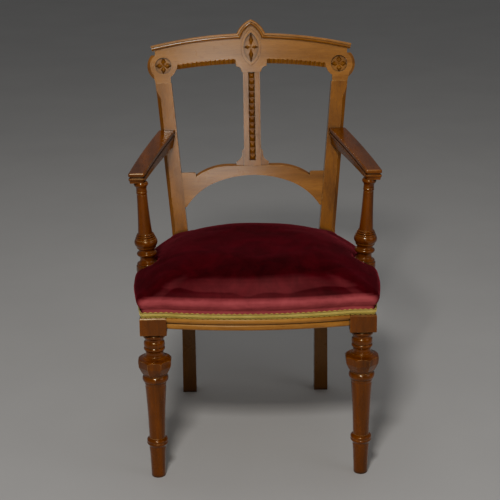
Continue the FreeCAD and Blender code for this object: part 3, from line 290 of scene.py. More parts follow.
def polished_wood(name, grain, light=RED_LIGHT, dark=RED_DARK, figure=0.75, gloss=0.30, coat=0.6, coat_rough=0.14,
                  painted_shade_below=0.0):
    material, tree, shader = fresh_material(name)
    timber = use(tree, TIMBER, Stretch=GRAIN[grain], Light=opaque(light), Dark=opaque(dark), Figure=figure, Gloss=gloss)
    wear_and_light = use(tree, AGE_AND_PAINTED_LIGHT, Hollow_Reach=0.012, Edge_Reach=0.0014)
    # Edges lightened: rubbed polish together with a painted highlight.
    colour = mixed(tree, wear_and_light.outputs["Edge"], timber.outputs["Colour"], opaque(RUBBED_AND_HIGHLIGHT))
    # Hollows darkened: old wax together with painted shade.
    colour = mixed(tree, sums(tree, "MULTIPLY", wear_and_light.outputs["Hollow"], 0.93), colour, opaque(WAX_AND_SHADE))
    place = node(tree, "ShaderNodeTexCoord").outputs["Object"]
    level = node(tree, "ShaderNodeSeparateXYZ", None, i0=place).outputs[2]
    # Painted shade: darker towards the floor, below the seat.
    colour = mixed(tree, spread(tree, level, 0.40, 0.20, 0.0, painted_shade_below), colour, opaque(WAX_AND_SHADE))
    tree.links.new(colour, shader.inputs["Base Color"])
    rough = sums(tree, "ADD", timber.outputs["Roughness"], sums(tree, "MULTIPLY", wear_and_light.outputs["Hollow"], 0.30), True)
    tree.links.new(rough, shader.inputs["Roughness"])
    tree.links.new(relief(tree, timber.outputs["Height"], 0.16, 0.0004, wear_and_light.outputs["Eased Normal"]),
                   shader.inputs["Normal"])
    shader.inputs["Specular Tint"].default_value = (1.0, 0.74, 0.36, 1)
    shader.inputs["Coat Weight"].default_value = coat
    shader.inputs["Coat Roughness"].default_value = coat_rough
    shader.inputs["IOR"].default_value = 1.5
    return material


def plain_wood(name, light, dark, grain):
    material, tree, shader = fresh_material(name)
    timber = use(tree, TIMBER, Stretch=GRAIN[grain], Light=opaque(light), Dark=opaque(dark), Figure=0.5, Gloss=0.62)
    tree.links.new(timber.outputs["Colour"], shader.inputs["Base Color"])
    tree.links.new(timber.outputs["Roughness"], shader.inputs["Roughness"])
    tree.links.new(relief(tree, timber.outputs["Height"], 0.5, 0.0005), shader.inputs["Normal"])
    return material


FRAME_WOODS = {
    "upright": polished_wood("mahogany_upright_grain", "z", painted_shade_below=0.55),
    "turned": polished_wood("mahogany_turned", "z", (0.205, 0.046, 0.0003), (0.036, 0.005, 0.0002),
                            0.85, 0.22, 0.42, 0.05),
    "crosswise": polished_wood("mahogany_cross_grain", "x", (0.38, 0.145, 0.022), (0.11, 0.030, 0.004), 0.70),
    "deepwise": polished_wood("mahogany_arm_grain", "y", (0.235, 0.058, 0.0008), (0.048, 0.008, 0.0003),
                              0.80, 0.26, 0.30),
}
BEECH = plain_wood("sawn_beech", (0.52, 0.35, 0.20), (0.30, 0.18, 0.09), "y")
# A lighter copy of the cross-grain mahogany for the front rail: painted light on its lit front.
FRAME_WOODS["rail"] = polished_wood("mahogany_rail", "x", (0.52, 0.22, 0.030), (0.17, 0.050, 0.006), 0.70)
NODE_WOODS = {
    "rail": ["front_rail"],
    "upright": ["back_leg_left", "back_leg_right", "splat", "splat_bracket_left", "splat_bracket_right"],
    "turned": ["front_leg_left", "front_leg_right", "arm_support_left", "arm_support_right"],
    "crosswise": ["back_rail", "crest_rail", "arched_rail", "cornice_left", "cornice_right",
                  "hood_moulding_left", "hood_moulding_right"],
    "deepwise": ["arm_left", "arm_right", "side_rail_left", "side_rail_right"],
}
BEECH_NODES = ["front_corner_block_left", "front_corner_block_right", "back_corner_block_left",
               "back_corner_block_right", "crest_dowels", "arm_dowels"]


def finish_node(name, material):
    """Gives a node of the frame its finish."""
    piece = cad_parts[name]
    piece.data.materials.clear()
    piece.data.materials.append(material)
    return piece


for kind, names in NODE_WOODS.items():
    for name in names:
        finish_node(name, FRAME_WOODS[kind])
for name in BEECH_NODES:
    finish_node(name, BEECH)


# ---------------------------------------------------------------- hidden stuffs and metals

def cloth_stuff(name, light, dark, threads, unevenness, depth, rough=0.92, sheen=0.15):
    material, tree, shader = fresh_material(name)
    weave = use(tree, WEAVE, Threads=threads, Unevenness=unevenness)
    shade = sums(tree, "MULTIPLY", weave.outputs["Crown"], spread(tree, weave.outputs["Slub"], 0.2, 0.75, 0.55, 1.0))
    tree.links.new(mixed(tree, shade, opaque(dark), opaque(light)), shader.inputs["Base Color"])
    tree.links.new(relief(tree, weave.outputs["Crown"], 0.8, depth), shader.inputs["Normal"])
    shader.inputs["Roughness"].default_value = rough
    shader.inputs["Sheen Weight"].default_value = sheen
    return material


def tangled_stuff(name, light, dark, scale, depth, sheen=0.2):
    """Loose fibres with no weave, such as curled hair or cotton."""
    material, tree, shader = fresh_material(name)
    place = node(tree, "ShaderNodeTexCoord").outputs["Object"]
    strands = noise_of(tree, place, scale, 6.0, 0.7, 3.5)
    clumps = noise_of(tree, place, scale / 8, 3.0)
    shade = sums(tree, "MULTIPLY", spread(tree, strands, 0.35, 0.65), spread(tree, clumps, 0.3, 0.7, 0.5, 1.0))
    tree.links.new(mixed(tree, shade, opaque(dark), opaque(light)), shader.inputs["Base Color"])
    tree.links.new(relief(tree, strands, 0.9, depth), shader.inputs["Normal"])
    shader.inputs["Roughness"].default_value = 0.95
    shader.inputs["Sheen Weight"].default_value = sheen
    return material


def old_metal(name, bright, dull, rough):
    material, tree, shader = fresh_material(name)
    place = node(tree, "ShaderNodeTexCoord").outputs["Object"]
    bloom = spread(tree, noise_of(tree, place, 240.0, 5.0, 0.6), 0.38, 0.68)
    tree.links.new(mixed(tree, bloom, opaque(bright), opaque(dull)), shader.inputs["Base Color"])
    tree.links.new(spread(tree, bloom, 0.0, 1.0, rough, rough + 0.3), shader.inputs["Roughness"])
    tree.links.new(relief(tree, bloom, 0.2, 0.0002), shader.inputs["Normal"])
    shader.inputs["Metallic"].default_value = 1.0
    return material


HIDDEN = {
    "hessian_spring_cover": cloth_stuff("hessian", (0.40, 0.29, 0.16), (0.14, 0.09, 0.045), 1500.0, 0.5, 0.0007),
    "calico_undercover": cloth_stuff("calico", (0.72, 0.67, 0.56), (0.45, 0.40, 0.31), 4200.0, 0.2, 0.0002),
    "hair_stuffing": tangled_stuff("curled_hair", (0.10, 0.07, 0.05), (0.015, 0.011, 0.009), 260.0, 0.0015),
    "cotton_wadding": tangled_stuff("cotton_wadding", (0.80, 0.77, 0.70), (0.55, 0.52, 0.45), 180.0, 0.001),
    "spring_lashing": cloth_stuff("lay_cord", (0.50, 0.40, 0.25), (0.22, 0.16, 0.09), 2600.0, 0.8, 0.0004),
    "seat_springs": old_metal("coppered_wire", (0.58, 0.30, 0.16), (0.20, 0.12, 0.08), 0.34),
    "block_screws": old_metal("screw_steel", (0.46, 0.45, 0.44), (0.20, 0.17, 0.15), 0.36),
    "webbing_tacks": old_metal("blued_steel", (0.07, 0.08, 0.11), (0.03, 0.028, 0.028), 0.32),
}
for name, material in HIDDEN.items():
    finish_node(name, material)


# ---------------------------------------------------------------- the seat's plan

FRONT_CORNER = (0.2495, LEG_AXIS_Y - 0.0225)
SIDE_MIDDLE = (0.2503, LEG_AXIS_Y + 0.2218)
BACK_CORNER = (0.180, LEG_AXIS_Y + 0.466)
FRONT_BOW = 0.020
FRONT_FLAT = 0.0515
CORNER_ROUND = 0.006
SEAT_CENTRE = Vector((0.0, LEG_AXIS_Y + 0.215))
STILE_FRONT_Y = LEG_AXIS_Y + 0.440
STILE_INNER_X = 0.157


def arc_through(a, b, c, count):
    """Points along the arc from a through b to c, without c itself."""
    a, b, c = (np.array(p, float) for p in (a, b, c))
    lhs = 2 * np.array([b - a, c - a])
    rhs = np.array([b @ b - a @ a, c @ c - a @ a])
    middle = np.linalg.solve(lhs, rhs)
    first, half, last = (math.atan2(*(p - middle)[::-1]) for p in (a, b, c))
    turn = 2 * math.pi
    sweep = (last - first) % turn
    if (half - first) % turn > sweep:
        sweep -= turn
    angles = first + sweep * np.arange(count) / count
    radius = np.linalg.norm(a - middle)
    return middle + radius * np.stack([np.cos(angles), np.sin(angles)], 1)


def seat_plan(grow, grow_back, count, soft=0.0):
    """The seat's outline at a growth from the covered face of the rails, anticlockwise from the middle front.

    soft is added to the radius of the back corners, and a share of it to the front ones.
    """
    fx, fy = FRONT_CORNER[0] + grow, FRONT_CORNER[1] - grow
    bx, by = BACK_CORNER[0] + grow, BACK_CORNER[1] + grow_back
    mx, my = SIDE_MIDDLE[0] + grow, SIDE_MIDDLE[1]
    flat = fx - FRONT_FLAT
    near, far = CORNER_ROUND + soft * 0.45, min(CORNER_ROUND + soft, bx * 0.8)
    near_cut, far_cut = near * 0.293, far * 0.293
    flare = (far - CORNER_ROUND) * 0.2
    half = [
        arc_through((0, fy - FRONT_BOW), (flat / 2, fy - FRONT_BOW * 0.75), (flat, fy), 60),
        np.linspace((flat, fy), (fx - near, fy), 12, endpoint=False),
        arc_through((fx - near, fy), (fx - near_cut, fy + near_cut), (fx, fy + near), 24),
        arc_through((fx, fy + near), (mx, my), (bx + flare, by - far), 120),
        arc_through((bx + flare, by - far), (bx - far_cut + flare / 2, by - far_cut), (bx - far, by), 24),
        np.linspace((bx - far, by), (0, by), 40, endpoint=False),
    ]
    right = np.concatenate(half + [np.array([[0.0, by]])])
    left = right[-2:0:-1] * (-1, 1)
    loop = np.concatenate([right, left, right[:1]])
    steps = np.concatenate([[0], np.cumsum(np.linalg.norm(np.diff(loop, axis=0), axis=1))])
    spots = np.linspace(0, steps[-1], count, endpoint=False)
    return np.stack([np.interp(spots, steps, loop[:, k]) for k in (0, 1)], 1), steps[-1]


# ---------------------------------------------------------------- mesh helpers

def new_piece(name, points, faces, material):
    mesh = bpy.data.meshes.new(name)
    mesh.from_pydata([tuple(p) for p in points], [], faces)
    mesh.update()
    mesh.materials.append(material)
    piece = bpy.data.objects.new(name, mesh)
    bpy.context.scene.collection.objects.link(piece)
    shade_smooth(piece)
    return piece


def shade_smooth(piece):
    piece.data.polygons.foreach_set("use_smooth", [True] * len(piece.data.polygons))


def apply_modifier(piece, kind, **settings):
    """Adds a modifier and makes its result the piece's mesh."""
    modifier = piece.modifiers.new("work", kind)
    for key, value in settings.items():
        setattr(modifier, key, value)
    depsgraph = bpy.context.evaluated_depsgraph_get()
    mesh = bpy.data.meshes.new_from_object(piece.evaluated_get(depsgraph))
    old = piece.data
    piece.modifiers.clear()
    piece.data = mesh
    bpy.data.meshes.remove(old)


def coordinates(mesh):
    flat = np.empty(len(mesh.vertices) * 3)
    mesh.vertices.foreach_get("co", flat)
    return flat.reshape(-1, 3)


def set_coordinates(mesh, points):
    mesh.vertices.foreach_set("co", np.asarray(points, float).ravel())
    mesh.update()


def ring_faces(rings, count, closed=True, base=0):
    """Quads between rings of count points each."""
    faces = []
    last = count if closed else count - 1
    for i in range(rings - 1):
        for j in range(last):
            k = (j + 1) % count
            a, b = base + i * count, base + (i + 1) * count
            faces.append((a + j, a + k, b + k, b + j))
    return faces


# ---------------------------------------------------------------- velvet seat

SEAT_PROFILE = [           # height over the rail top, growth at front and sides, at the back, softness of corners
    (-0.0150, 0.0022, 0.0022, 0.0), (-0.0060, 0.0020, 0.0020, 0.0), (-0.0010, 0.0024, 0.0022, 0.0),
    (0.0040, 0.0048, 0.0034, 0.002), (0.0080, 0.0078, 0.0048, 0.006), (0.0160, 0.0122, 0.0060, 0.020),
    (0.0240, 0.0132, 0.0020, 0.046), (0.0300, 0.0080, -0.0080, 0.060), (0.0360, -0.0040, -0.0240, 0.064),
    (0.0435, -0.0170, -0.0370, 0.062), (0.0518, -0.0330, -0.0480, 0.062), (0.0592, -0.0520, -0.0600, 0.066),
    (0.0660, -0.0780, -0.0800, 0.072), (0.0708, -0.1080, -0.1050, 0.055), (0.0724, -0.1280, -0.1250, 0.038),
]
SEAT_CROWN = 0.0730
START_SHY = 0.0045         # the pad starts this much smaller and is blown up to size
SWELL_CAP = 0.0035          # the most that the swelling adds to the full size
SWELL_EASING = 60
PLAN_POINTS = 300
SECTION_COUNT = 85
SECTION_EASING = 14
VELVET_THICK = 0.0016
VOXEL = 0.005


def velvet_material():
    material, tree, shader = fresh_material("burgundy_velvet")
    place = node(tree, "ShaderNodeTexCoord").outputs["Object"]
    facing = node(tree, "ShaderNodeNewGeometry").outputs["Normal"]
    parts = node(tree, "ShaderNodeSeparateXYZ", None, i0=facing)
    nap = noise_of(tree, place, 11.0, 4.0, 0.6, 0.8)
    strokes = noise_of(tree, scaled_place(tree, place, (1.0, 0.45, 1.0)), 34.0, 4.0, 0.6, 0.4)
    pile = noise_of(tree, place, 1500.0, 2.0, 0.6)
    # Painted sheen: the velvet is made lighter and pinker where it faces the front.
    frontal = spread(tree, parts.outputs[1], -0.34, -0.98)
    brushed = sums(tree, "ADD", spread(tree, nap, 0.36, 0.68, 0.0, 0.70), spread(tree, strokes, 0.4, 0.7, 0.0, 0.34))
    brushed = sums(tree, "ADD", brushed, spread(tree, pile, 0.3, 0.7, -0.12, 0.12), True)
    colour = mixed(tree, brushed, (0.027, 0.0001, 0.0014, 1), (0.088, 0.0012, 0.0062, 1))
    painted_sheen = sums(tree, "MULTIPLY", frontal, spread(tree, strokes, 0.3, 0.7, 0.70, 0.95))
    colour = mixed(tree, painted_sheen, colour, (0.480, 0.088, 0.102, 1))
    tree.links.new(colour, shader.inputs["Base Color"])
    height = sums(tree, "ADD", pile, sums(tree, "MULTIPLY", strokes, 1.5))
    tree.links.new(relief(tree, height, 0.5, 0.0006), shader.inputs["Normal"])
    shader.inputs["Roughness"].default_value = 1.0
    shader.inputs["Specular IOR Level"].default_value = 0.05
    shader.inputs["Sheen Weight"].default_value = 0.32
    shader.inputs["Sheen Roughness"].default_value = 0.34
    shader.inputs["Sheen Tint"].default_value = (0.85, 0.10, 0.16, 1)
    return material


def seat_form(material):
    """The stuffed seat as a closed form, a little smaller than the finished seat."""
    around = PLAN_POINTS
    levels = np.array(SEAT_PROFILE)
    heights = levels[:, 0]
    steps = np.linspace(0, len(heights) - 1, SECTION_COUNT)
    sections = np.array([np.interp(steps, range(len(heights)), column) for column in levels.T]).T
    for _ in range(SECTION_EASING):
        sections[1:-1] = (sections[:-2] + 2 * sections[1:-1] + sections[2:]) / 4
    points = []
    for z, grow, far, soft in sections:
        shy = START_SHY * min(max((z - 0.002) / 0.010, 0.0), 1.0)
        plan, _ = seat_plan(grow - shy, far - shy, around, soft)
        points += [(x, y, RAIL_TOP + z - shy * 0.6) for x, y in plan]
    rings = len(steps)
    edge = np.array(points[-around:])
    inner = 16
    for k in range(1, inner + 1):
        share = k / (inner + 1)
        z = RAIL_TOP + SEAT_CROWN - START_SHY * 0.6 - (SEAT_CROWN - heights[-1]) * (1 - share) ** 2
        plan = edge[:, :2] * (1 - share) + np.array(SEAT_CENTRE) * share
        points += [(x, y, z) for x, y in plan]
    faces = ring_faces(rings + inner, around)
    faces.append(tuple(range(around - 1, -1, -1)))
    faces.append(tuple(range((rings + inner - 1) * around, (rings + inner) * around)))
    return new_piece("velvet_seat", points, faces, material)


def prism(name, outline, low, high, tilt=None):
    """A closed prism on an outline in plan, for cutting."""
    count = len(outline)
    points = [(x, y, low) for x, y in outline] + [(x, y, high) for x, y in outline]
    faces = ring_faces(2, count) + [tuple(range(count - 1, -1, -1)), tuple(range(count, 2 * count))]
    mesh = bpy.data.meshes.new(name)
    mesh.from_pydata(points, [], faces)
    if tilt is not None:
        mesh.transform(tilt)
    piece = bpy.data.objects.new(name, mesh)
    bpy.context.scene.collection.objects.link(piece)
    return piece


DRUM_R = 0.026
SLOT_SLACK = -0.0004
support_low, support_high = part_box("arm_support_left")
DRUM_Y = (support_low.y + support_high.y) / 2
DRUM_X = 0.2433


def seat_cutters():
    """Slots for the arm supports and the back posts.

    The round slots are cut a touch under the drums, because the smoothing afterwards opens them.
    """
    cutters = []
    low, high = RAIL_TOP - 0.03, RAIL_TOP + 0.12
    for side in (1, -1):
        r = DRUM_R + SLOT_SLACK
        round_end = [(DRUM_X + r * math.cos(t), DRUM_Y + r * math.sin(t))
                     for t in np.linspace(math.pi / 2, 3 * math.pi / 2, 20)]
        slot = round_end + [(DRUM_X + 0.08, DRUM_Y - r), (DRUM_X + 0.08, DRUM_Y + r)]
        corner = [(STILE_INNER_X - 0.003, STILE_FRONT_Y - 0.002), (0.30, STILE_FRONT_Y - 0.002), (0.30, 0.40),
                  (STILE_INNER_X - 0.003, 0.40)]
        for label, outline in (("drum_slot", slot), ("post_slot", corner)):
            turned = [(side * x, y) for x, y in outline]
            if side < 0:
                turned.reverse()
            cutters.append(prism(label, turned, low, high))
    return cutters


def inflate(piece, pressure, frames, cap, held_below):
    """Brings the closed piece to full size by rule, then adds what a cloth under pressure swells beyond that.

    The added swelling is cut off at cap, smoothed over the mesh, and nothing along the held lower edge.
    """
    start = coordinates(piece.data)
    held = piece.vertex_groups.new(name="tacked")
    held.add([int(k) for k in np.nonzero(start[:, 2] < held_below)[0]], 1.0, "REPLACE")
    cloth = piece.modifiers.new("stuffing", "CLOTH")
    cloth.settings.use_pressure = True
    cloth.settings.uniform_pressure_force = pressure
    cloth.settings.effector_weights.gravity = 0
    cloth.settings.vertex_group_mass = "tacked"
    cloth.settings.tension_stiffness = 12
    cloth.settings.compression_stiffness = 12
    cloth.settings.bending_stiffness = 0.8
    cloth.point_cache.frame_end = frames
    scene = bpy.context.scene
    for number in range(1, frames + 1):
        scene.frame_set(number)
    swollen = piece.evaluated_get(bpy.context.evaluated_depsgraph_get()).to_mesh()
    end = coordinates(swollen)
    piece.modifiers.clear()
    scene.frame_set(1)
    normals = vertex_normals(piece.data)
    least = least_swelling(start)
    extra = np.clip(np.sum((end - start) * normals, axis=1) - least, 0.0, cap)
    ends = np.array([edge.vertices[:] for edge in piece.data.edges])
    shared = np.bincount(ends.ravel(), minlength=len(start))
    for _ in range(SWELL_EASING):
        around = np.bincount(ends[:, 0], extra[ends[:, 1]], len(start))
        around += np.bincount(ends[:, 1], extra[ends[:, 0]], len(start))
        extra = (extra + around / np.maximum(shared, 1)) / 2
        extra[start[:, 2] < held_below] = 0.0
    set_coordinates(piece.data, start + normals * (least + extra)[:, None])
    print("stuffed, moved", float((least + extra).mean()), float((least + extra).max()))


def least_swelling(points):
    """How far each point has to swell for the pad to reach its full size, nothing along the tacked edge."""
    return START_SHY * np.clip((points[:, 2] - RAIL_TOP - 0.002) / 0.010, 0.0, 1.0)


def vertex_normals(mesh):
    flat = np.empty(len(mesh.vertices) * 3)
    mesh.vertices.foreach_get("normal", flat)
    return flat.reshape(-1, 3)


def keep_clear(piece, node_name, gap):
    """Moves any point of the piece that comes nearer than gap to the layer below out to that gap."""
    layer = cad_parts[node_name].data
    heart = Vector((SEAT_CENTRE.x, SEAT_CENTRE.y, RAIL_TOP + 0.01))
    outside = [tuple(face.vertices) for face in layer.polygons
               if face.normal.dot(face.center - heart) > 0 and face.normal.z > -0.9]
    tree = BVHTree.FromPolygons([v.co.copy() for v in layer.vertices], outside)
    points = coordinates(piece.data)
    for k, point in enumerate(points):
        spot, normal, _, _ = tree.find_nearest(Vector(point), 0.025)
        if spot is None:
            continue
        rise = (Vector(point) - spot).dot(normal)
        if rise < gap and (Vector(point) - spot).cross(normal).length < 0.012:
            points[k] = Vector(point) + normal * (gap - rise)
    set_coordinates(piece.data, points)


def settle_velvet(piece):
    """Soft unevenness from the hair below, and small gathers where the cover is drawn down to the braid."""
    points = coordinates(piece.data)
    normals = vertex_normals(piece.data)
    for k, point in enumerate(points):
        x, y, z = point
        lift = z - RAIL_TOP
        lumps = noise.noise(Vector((x * 9, y * 9, z * 9 + 3))) * 0.0022
        lumps += noise.noise(Vector((x * 24, y * 24, z * 16))) * 0.0007
        turn = math.atan2(y - SEAT_CENTRE.y, x)
        pull = noise.noise(Vector((math.cos(turn) * 13, math.sin(turn) * 13, 0.0)))
        gather = pull * 0.0016 * math.exp(-max(lift, 0.0) / 0.016)
        calm = min(max((lift + 0.004) / 0.012, 0.0), 1.0)
        points[k] = point + normals[k] * ((lumps + gather) * calm)
    set_coordinates(piece.data, points)


def trim_skirt(piece, low):
    """Takes away the closed underside, so that only the cover is left."""
    points = coordinates(piece.data)
    normals = vertex_normals(piece.data)
    gone = np.nonzero((points[:, 2] < low) | ((normals[:, 2] < -0.75) & (points[:, 2] < RAIL_TOP - 0.004)))[0]
    keep = np.ones(len(points), bool)
    keep[gone] = False
    order = np.cumsum(keep) - 1
    faces = [tuple(int(order[v]) for v in face.vertices) for face in piece.data.polygons
             if all(keep[v] for v in face.vertices)]
    material = piece.data.materials[0]
    mesh = bpy.data.meshes.new(piece.name)
    mesh.from_pydata([tuple(p) for p in points[keep]], [], faces)
    mesh.materials.append(material)
    piece.data = mesh
    shade_smooth(piece)


def velvet_seat():
    piece = seat_form(velvet_material())
    for cutter in seat_cutters():
        apply_modifier(piece, "BOOLEAN", operation="DIFFERENCE", object=cutter, solver="EXACT")
        bpy.data.objects.remove(cutter)
    apply_modifier(piece, "REMESH", mode="VOXEL", voxel_size=VOXEL, adaptivity=0.0)
    apply_modifier(piece, "SMOOTH", factor=0.5, iterations=4)
    inflate(piece, 4.0, 20, SWELL_CAP, RAIL_TOP + 0.002)
    apply_modifier(piece, "SUBSURF", levels=1, render_levels=1)
    settle_velvet(piece)
    for _ in range(3):
        keep_clear(piece, "cotton_wadding", 0.0024)
    trim_skirt(piece, LEDGE + 0.004)
    apply_modifier(piece, "SOLIDIFY", thickness=VELVET_THICK, offset=-1.0)
    shade_smooth(piece)
    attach(piece, "root")
    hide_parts("velvet_cover")
    return piece


velvet_seat()


# ---------------------------------------------------------------- gimp braid

BRAID_PITCH = 0.0114
BRAID_MIDDLE = LEDGE + 0.0074
BRAID_STAND = 0.0036       # from the covered face of the rails to the middle of the plait


def braid_material():
    material, tree, shader = fresh_material("gold_gimp")
    place = node(tree, "ShaderNodeTexCoord").outputs["Object"]
    threads = noise_of(tree, scaled_place(tree, place, (1.0, 1.0, 2.2)), 900.0, 4.0, 0.7, 1.2)
    faded = noise_of(tree, place, 40.0, 3.0)
    shade = node(tree, "ShaderNodeAmbientOcclusion", {"samples": 6}, Distance=0.003).outputs["AO"]
    tone = sums(tree, "ADD", spread(tree, threads, 0.3, 0.7, 0.0, 0.7), spread(tree, faded, 0.3, 0.7, 0.0, 0.3))
    colour = mixed(tree, tone, (0.42, 0.29, 0.018, 1), (0.98, 0.78, 0.14, 1))
    painted_lit_share = node(tree, "ShaderNodeAttribute", {"attribute_name": "painted_lit_share"}).outputs["Fac"]
    # Painted shade: strands that pass under, and the backing, are darkened.
    colour = mixed(tree, spread(tree, painted_lit_share, 0.75, 0.10, 0.0, 0.88), colour, (0.085, 0.052, 0.004, 1))
    # Painted shade: darker in the crevices between the strands.
    colour = mixed(tree, spread(tree, shade, 0.9, 0.3, 0.0, 0.85), colour, (0.050, 0.030, 0.004, 1))
    tree.links.new(colour, shader.inputs["Base Color"])
    tree.links.new(relief(tree, threads, 0.7, 0.0003), shader.inputs["Normal"])
    shader.inputs["Roughness"].default_value = 0.48
    shader.inputs["Sheen Weight"].default_value = 0.3
    return material


def swept(line, outward, radius, sides):
    """Points and faces of a round strand that follows a line."""
    along = np.gradient(line, axis=0)
    along /= np.linalg.norm(along, axis=1, keepdims=True)
    across = outward - along * np.sum(outward * along, axis=1, keepdims=True)
    across /= np.linalg.norm(across, axis=1, keepdims=True)
    up = np.cross(along, across)
    turns = np.arange(sides) * 2 * math.pi / sides
    ring = across[:, None] * np.cos(turns)[None, :, None] + up[:, None] * np.sin(turns)[None, :, None]
    points = (line[:, None] + ring * radius).reshape(-1, 3)
    faces = ring_faces(len(line), sides)
    faces.append(tuple(range(sides)))
    faces.append(tuple(range(len(points) - 1, len(points) - sides - 1, -1)))
    return points, faces


def braid_run(name, plan, material):
    """A stretch of braid along a line in plan: four plaited strands between two scalloped edges."""
    steps = np.concatenate([[0], np.cumsum(np.linalg.norm(np.diff(plan, axis=0), axis=1))])
    pitches = max(1, round(steps[-1] / BRAID_PITCH))
    pitch = steps[-1] / pitches
    spots = np.linspace(0, steps[-1], pitches * 16 + 1)
    flat = np.stack([np.interp(spots, steps, plan[:, k]) for k in (0, 1)], 1)
    along = np.gradient(flat, axis=0)
    along /= np.linalg.norm(along, axis=1, keepdims=True)
    outward = np.stack([along[:, 1], -along[:, 0], np.zeros(len(flat))], 1)
    base = np.concatenate([flat, np.full((len(flat), 1), BRAID_MIDDLE)], 1)
    turn = spots / pitch * 2 * math.pi
    points, faces, marks = [], [], []
    none = np.zeros(len(flat))

    def lay(rise, stand, slide, radius, sides=7, shade=None):
        line = base + outward * stand[:, None]
        line[:, 2] += rise
        line[:, :2] += along * slide[:, None]
        made, quads = swept(line, outward, radius, sides)
        start = sum(len(p) for p in points)
        points.append(made)
        marks.append(np.repeat(none if shade is None else shade, sides))
        faces.extend(tuple(start + v for v in quad) for quad in quads)

    # The last value given to each lay is its painted light share: strands on top lighter, strands passing under and the
    # backing darker.
    for k in range(4):
        phase = turn + k * math.pi / 2
        over = 0.5 + 0.5 * np.cos(2 * phase)
        lay(3.4e-3 * np.sin(phase), 0.5e-3 + 1.5e-3 * over, none, 0.95e-3, 7, over)
    for side in (1, -1):
        scallop = np.abs(np.sin(turn / 2 + (0 if side > 0 else math.pi / 2)))
        lay(side * (3.6e-3 + 2.5e-3 * scallop), none + 0.3e-3, 1.2e-3 * np.sin(turn), 0.7e-3, 5, 0.3 + 0.7 * scallop)
        lay(side * (4.3e-3 + 0.25e-3 * np.sin(3 * turn)), none + 0.4e-3, none, 0.6e-3, 5, none + 0.45)
    lay(none, none - 0.6e-3, none, 2.2e-3, 6)
    piece = new_piece(name, np.concatenate(points), faces, material)
    painted_lit_share = piece.data.attributes.new("painted_lit_share", "FLOAT", "POINT")
    painted_lit_share.data.foreach_set("value", np.concatenate(marks))
    return piece


def gimp_braid():
    material = braid_material()
    plan, _ = seat_plan(BRAID_STAND, BRAID_STAND, 1200)
    behind = plan[:, 1] > STILE_FRONT_Y
    beside = np.abs(plan[:, 0]) > STILE_INNER_X
    at_back = behind & ~beside
    first_back = int(np.argmax(at_back))
    rolled = np.roll(plan, -first_back, axis=0)
    back_line = rolled[:int(np.sum(at_back))]
    rest = np.roll(plan, len(plan) // 2, axis=0)
    front_line = rest[rest[:, 1] < STILE_FRONT_Y + 0.001]
    for name, line in (("gimp_braid_front", front_line), ("gimp_braid_back", back_line)):
        piece = braid_run(name, line, material)
        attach(piece, "root")
        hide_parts("gimp_braid")


gimp_braid()


# ---------------------------------------------------------------- jute webs

WEB_HALF = 0.025
WEB_THICK = 0.0016
WEB_MIDDLE = RAIL_TOP - 0.0448
WEB_RISE = 0.0010
LONG_WEBS = [-0.120, -0.060, 0.0, 0.060, 0.120]
CROSS_WEBS = [LEG_AXIS_Y + y for y in (0.065, 0.140, 0.215, 0.290, 0.365)]


def jute_material():
    """Jute webbing: a twill of coarse yarn with a dark stripe inside each selvedge."""
    material, tree, shader = fresh_material("jute_webbing")
    weave = use(tree, WEAVE, Threads=1900.0, Unevenness=0.35)
    shade = sums(tree, "MULTIPLY", weave.outputs["Crown"], spread(tree, weave.outputs["Slub"], 0.2, 0.75, 0.5, 1.0))
    colour = mixed(tree, shade, (0.15, 0.095, 0.040, 1), (0.50, 0.37, 0.19, 1))
    across = node(tree, "ShaderNodeAttribute", {"attribute_name": "across"}).outputs["Fac"]
    inside = spread(tree, across, 0.74, 0.76)
    outside = spread(tree, across, 0.86, 0.84)
    stripe = sums(tree, "MULTIPLY", inside, outside)
    colour = mixed(tree, sums(tree, "MULTIPLY", stripe, 0.8), colour, (0.055, 0.030, 0.016, 1))
    tree.links.new(colour, shader.inputs["Base Color"])
    tree.links.new(relief(tree, weave.outputs["Crown"], 0.8, 0.0006), shader.inputs["Normal"])
    shader.inputs["Roughness"].default_value = 0.93
    shader.inputs["Sheen Weight"].default_value = 0.15
    return material


def woven_over(along, crossings, first_up):
    """Height of a web over its middle level, where it passes over and under the webs that cross it."""
    rise = np.zeros(len(along))
    for k, spot in enumerate(crossings):
        sign = 1 if (k % 2 == 0) == first_up else -1
        reach = np.clip((WEB_HALF + 0.009 - np.abs(along - spot)) / 0.008, 0, 1)
        rise += sign * WEB_RISE * (3 * reach ** 2 - 2 * reach ** 3)
    return rise


def web(start, stop, middle, crossings, first_up, lengthwise):
    """Points, faces and places across the width of one web, with a thicker rolled edge at each side."""
    along = np.linspace(start, stop, int((stop - start) / 0.002))
    places = np.array([-1.0, -0.985, -0.95, -0.90, -0.85, -0.80, -0.75, -0.5, -0.25, 0.0,
                       0.25, 0.5, 0.75, 0.80, 0.85, 0.90, 0.95, 0.985, 1.0])
    edge = np.abs(places) > 0.94
    thick = np.where(edge, 0.50, 0.42) * WEB_THICK
    thick[[0, -1]] *= 0.35
    height = WEB_MIDDLE + woven_over(along, crossings, first_up)
    wander = np.array([noise.noise(Vector((a * 60, middle * 40, 0.0))) for a in along]) * 0.0004
    rings, marks = [], []
    for side, order in ((1, places), (-1, places[::-1])):
        depth = thick if side > 0 else thick[::-1]
        for place, half in zip(order, depth):
            ribs = 0.00006 * np.sin(along * 1900 + place * 40)
            rings.append((along, middle + WEB_HALF * place + wander, height + side * (half - abs(ribs))))
            marks.append(abs(place))
    count = len(rings)
    points = np.array(rings).transpose(2, 0, 1).reshape(-1, 3)
    faces = ring_faces(len(along), count)
    faces += [tuple(range(count - 1, -1, -1)), tuple(range(len(points) - count, len(points)))]
    if lengthwise:
        points = points[:, [1, 0, 2]]
    else:
        faces = [face[::-1] for face in faces]
    return points, faces, np.tile(marks, len(along))


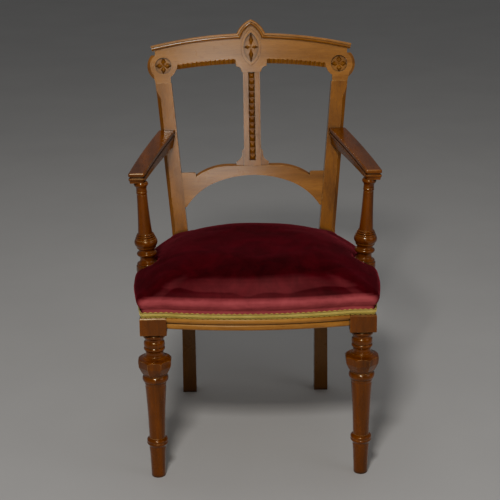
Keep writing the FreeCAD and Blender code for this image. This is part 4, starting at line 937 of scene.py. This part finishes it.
def webbing(name, runs, material):
    points, faces, marks = [], [], []
    for run in runs:
        made, quads, places = web(*run)
        start = sum(len(p) for p in points)
        points.append(made)
        marks.append(places)
        faces += [tuple(start + v for v in quad) for quad in quads]
    piece = new_piece(name, np.concatenate(points), faces, material)
    mark = piece.data.attributes.new("across", "FLOAT", "POINT")
    mark.data.foreach_set("value", np.concatenate(marks))
    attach(piece, "root")
    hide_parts(name)
    return piece


def half_width(y):
    """Half-width of the covered face of the side rails at a depth."""
    plan, _ = seat_plan(0.0, 0.0, 1200)
    side = plan[(plan[:, 0] > 0.1) & (plan[:, 1] > FRONT_CORNER[1] + 0.01) & (plan[:, 1] < BACK_CORNER[1] - 0.01)]
    side = side[np.argsort(side[:, 1])]
    return float(np.interp(y, side[:, 1], side[:, 0]))


def jute_webs():
    material = jute_material()
    low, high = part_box("webbing_lengthwise")
    lengthwise = [(low.y, high.y, x, CROSS_WEBS, k % 2 == 0, True) for k, x in enumerate(LONG_WEBS)]
    crosswise = []
    for k, y in enumerate(CROSS_WEBS):
        reach = half_width(y + WEB_HALF) - 0.008
        crosswise.append((-reach, reach, y, LONG_WEBS, k % 2 == 1, False))
    webbing("webbing_lengthwise", lengthwise, material)
    webbing("webbing_crosswise", crosswise, material)


jute_webs()


# ---------------------------------------------------------------- floor and world

def studio():
    material, tree, shader = fresh_material("pale_floor")
    place = node(tree, "ShaderNodeTexCoord").outputs["Object"]
    cloudy = noise_of(tree, place, 3.0, 4.0)
    tree.links.new(mixed(tree, cloudy, (0.50, 0.49, 0.475, 1), (0.56, 0.55, 0.53, 1)), shader.inputs["Base Color"])
    shader.inputs["Roughness"].default_value = 0.85
    half = 9.0
    points = [(-half, -half, 0), (half, -half, 0), (half, half, 0), (-half, half, 0)]
    floor = new_piece("floor", points, [(0, 1, 2, 3)], material)
    world = bpy.data.worlds.new("studio")
    world.use_nodes = True
    world.node_tree.nodes["Background"].inputs["Color"].default_value = (0.80, 0.81, 0.83, 1)
    world.node_tree.nodes["Background"].inputs["Strength"].default_value = 0.14
    bpy.context.scene.world = world


studio()
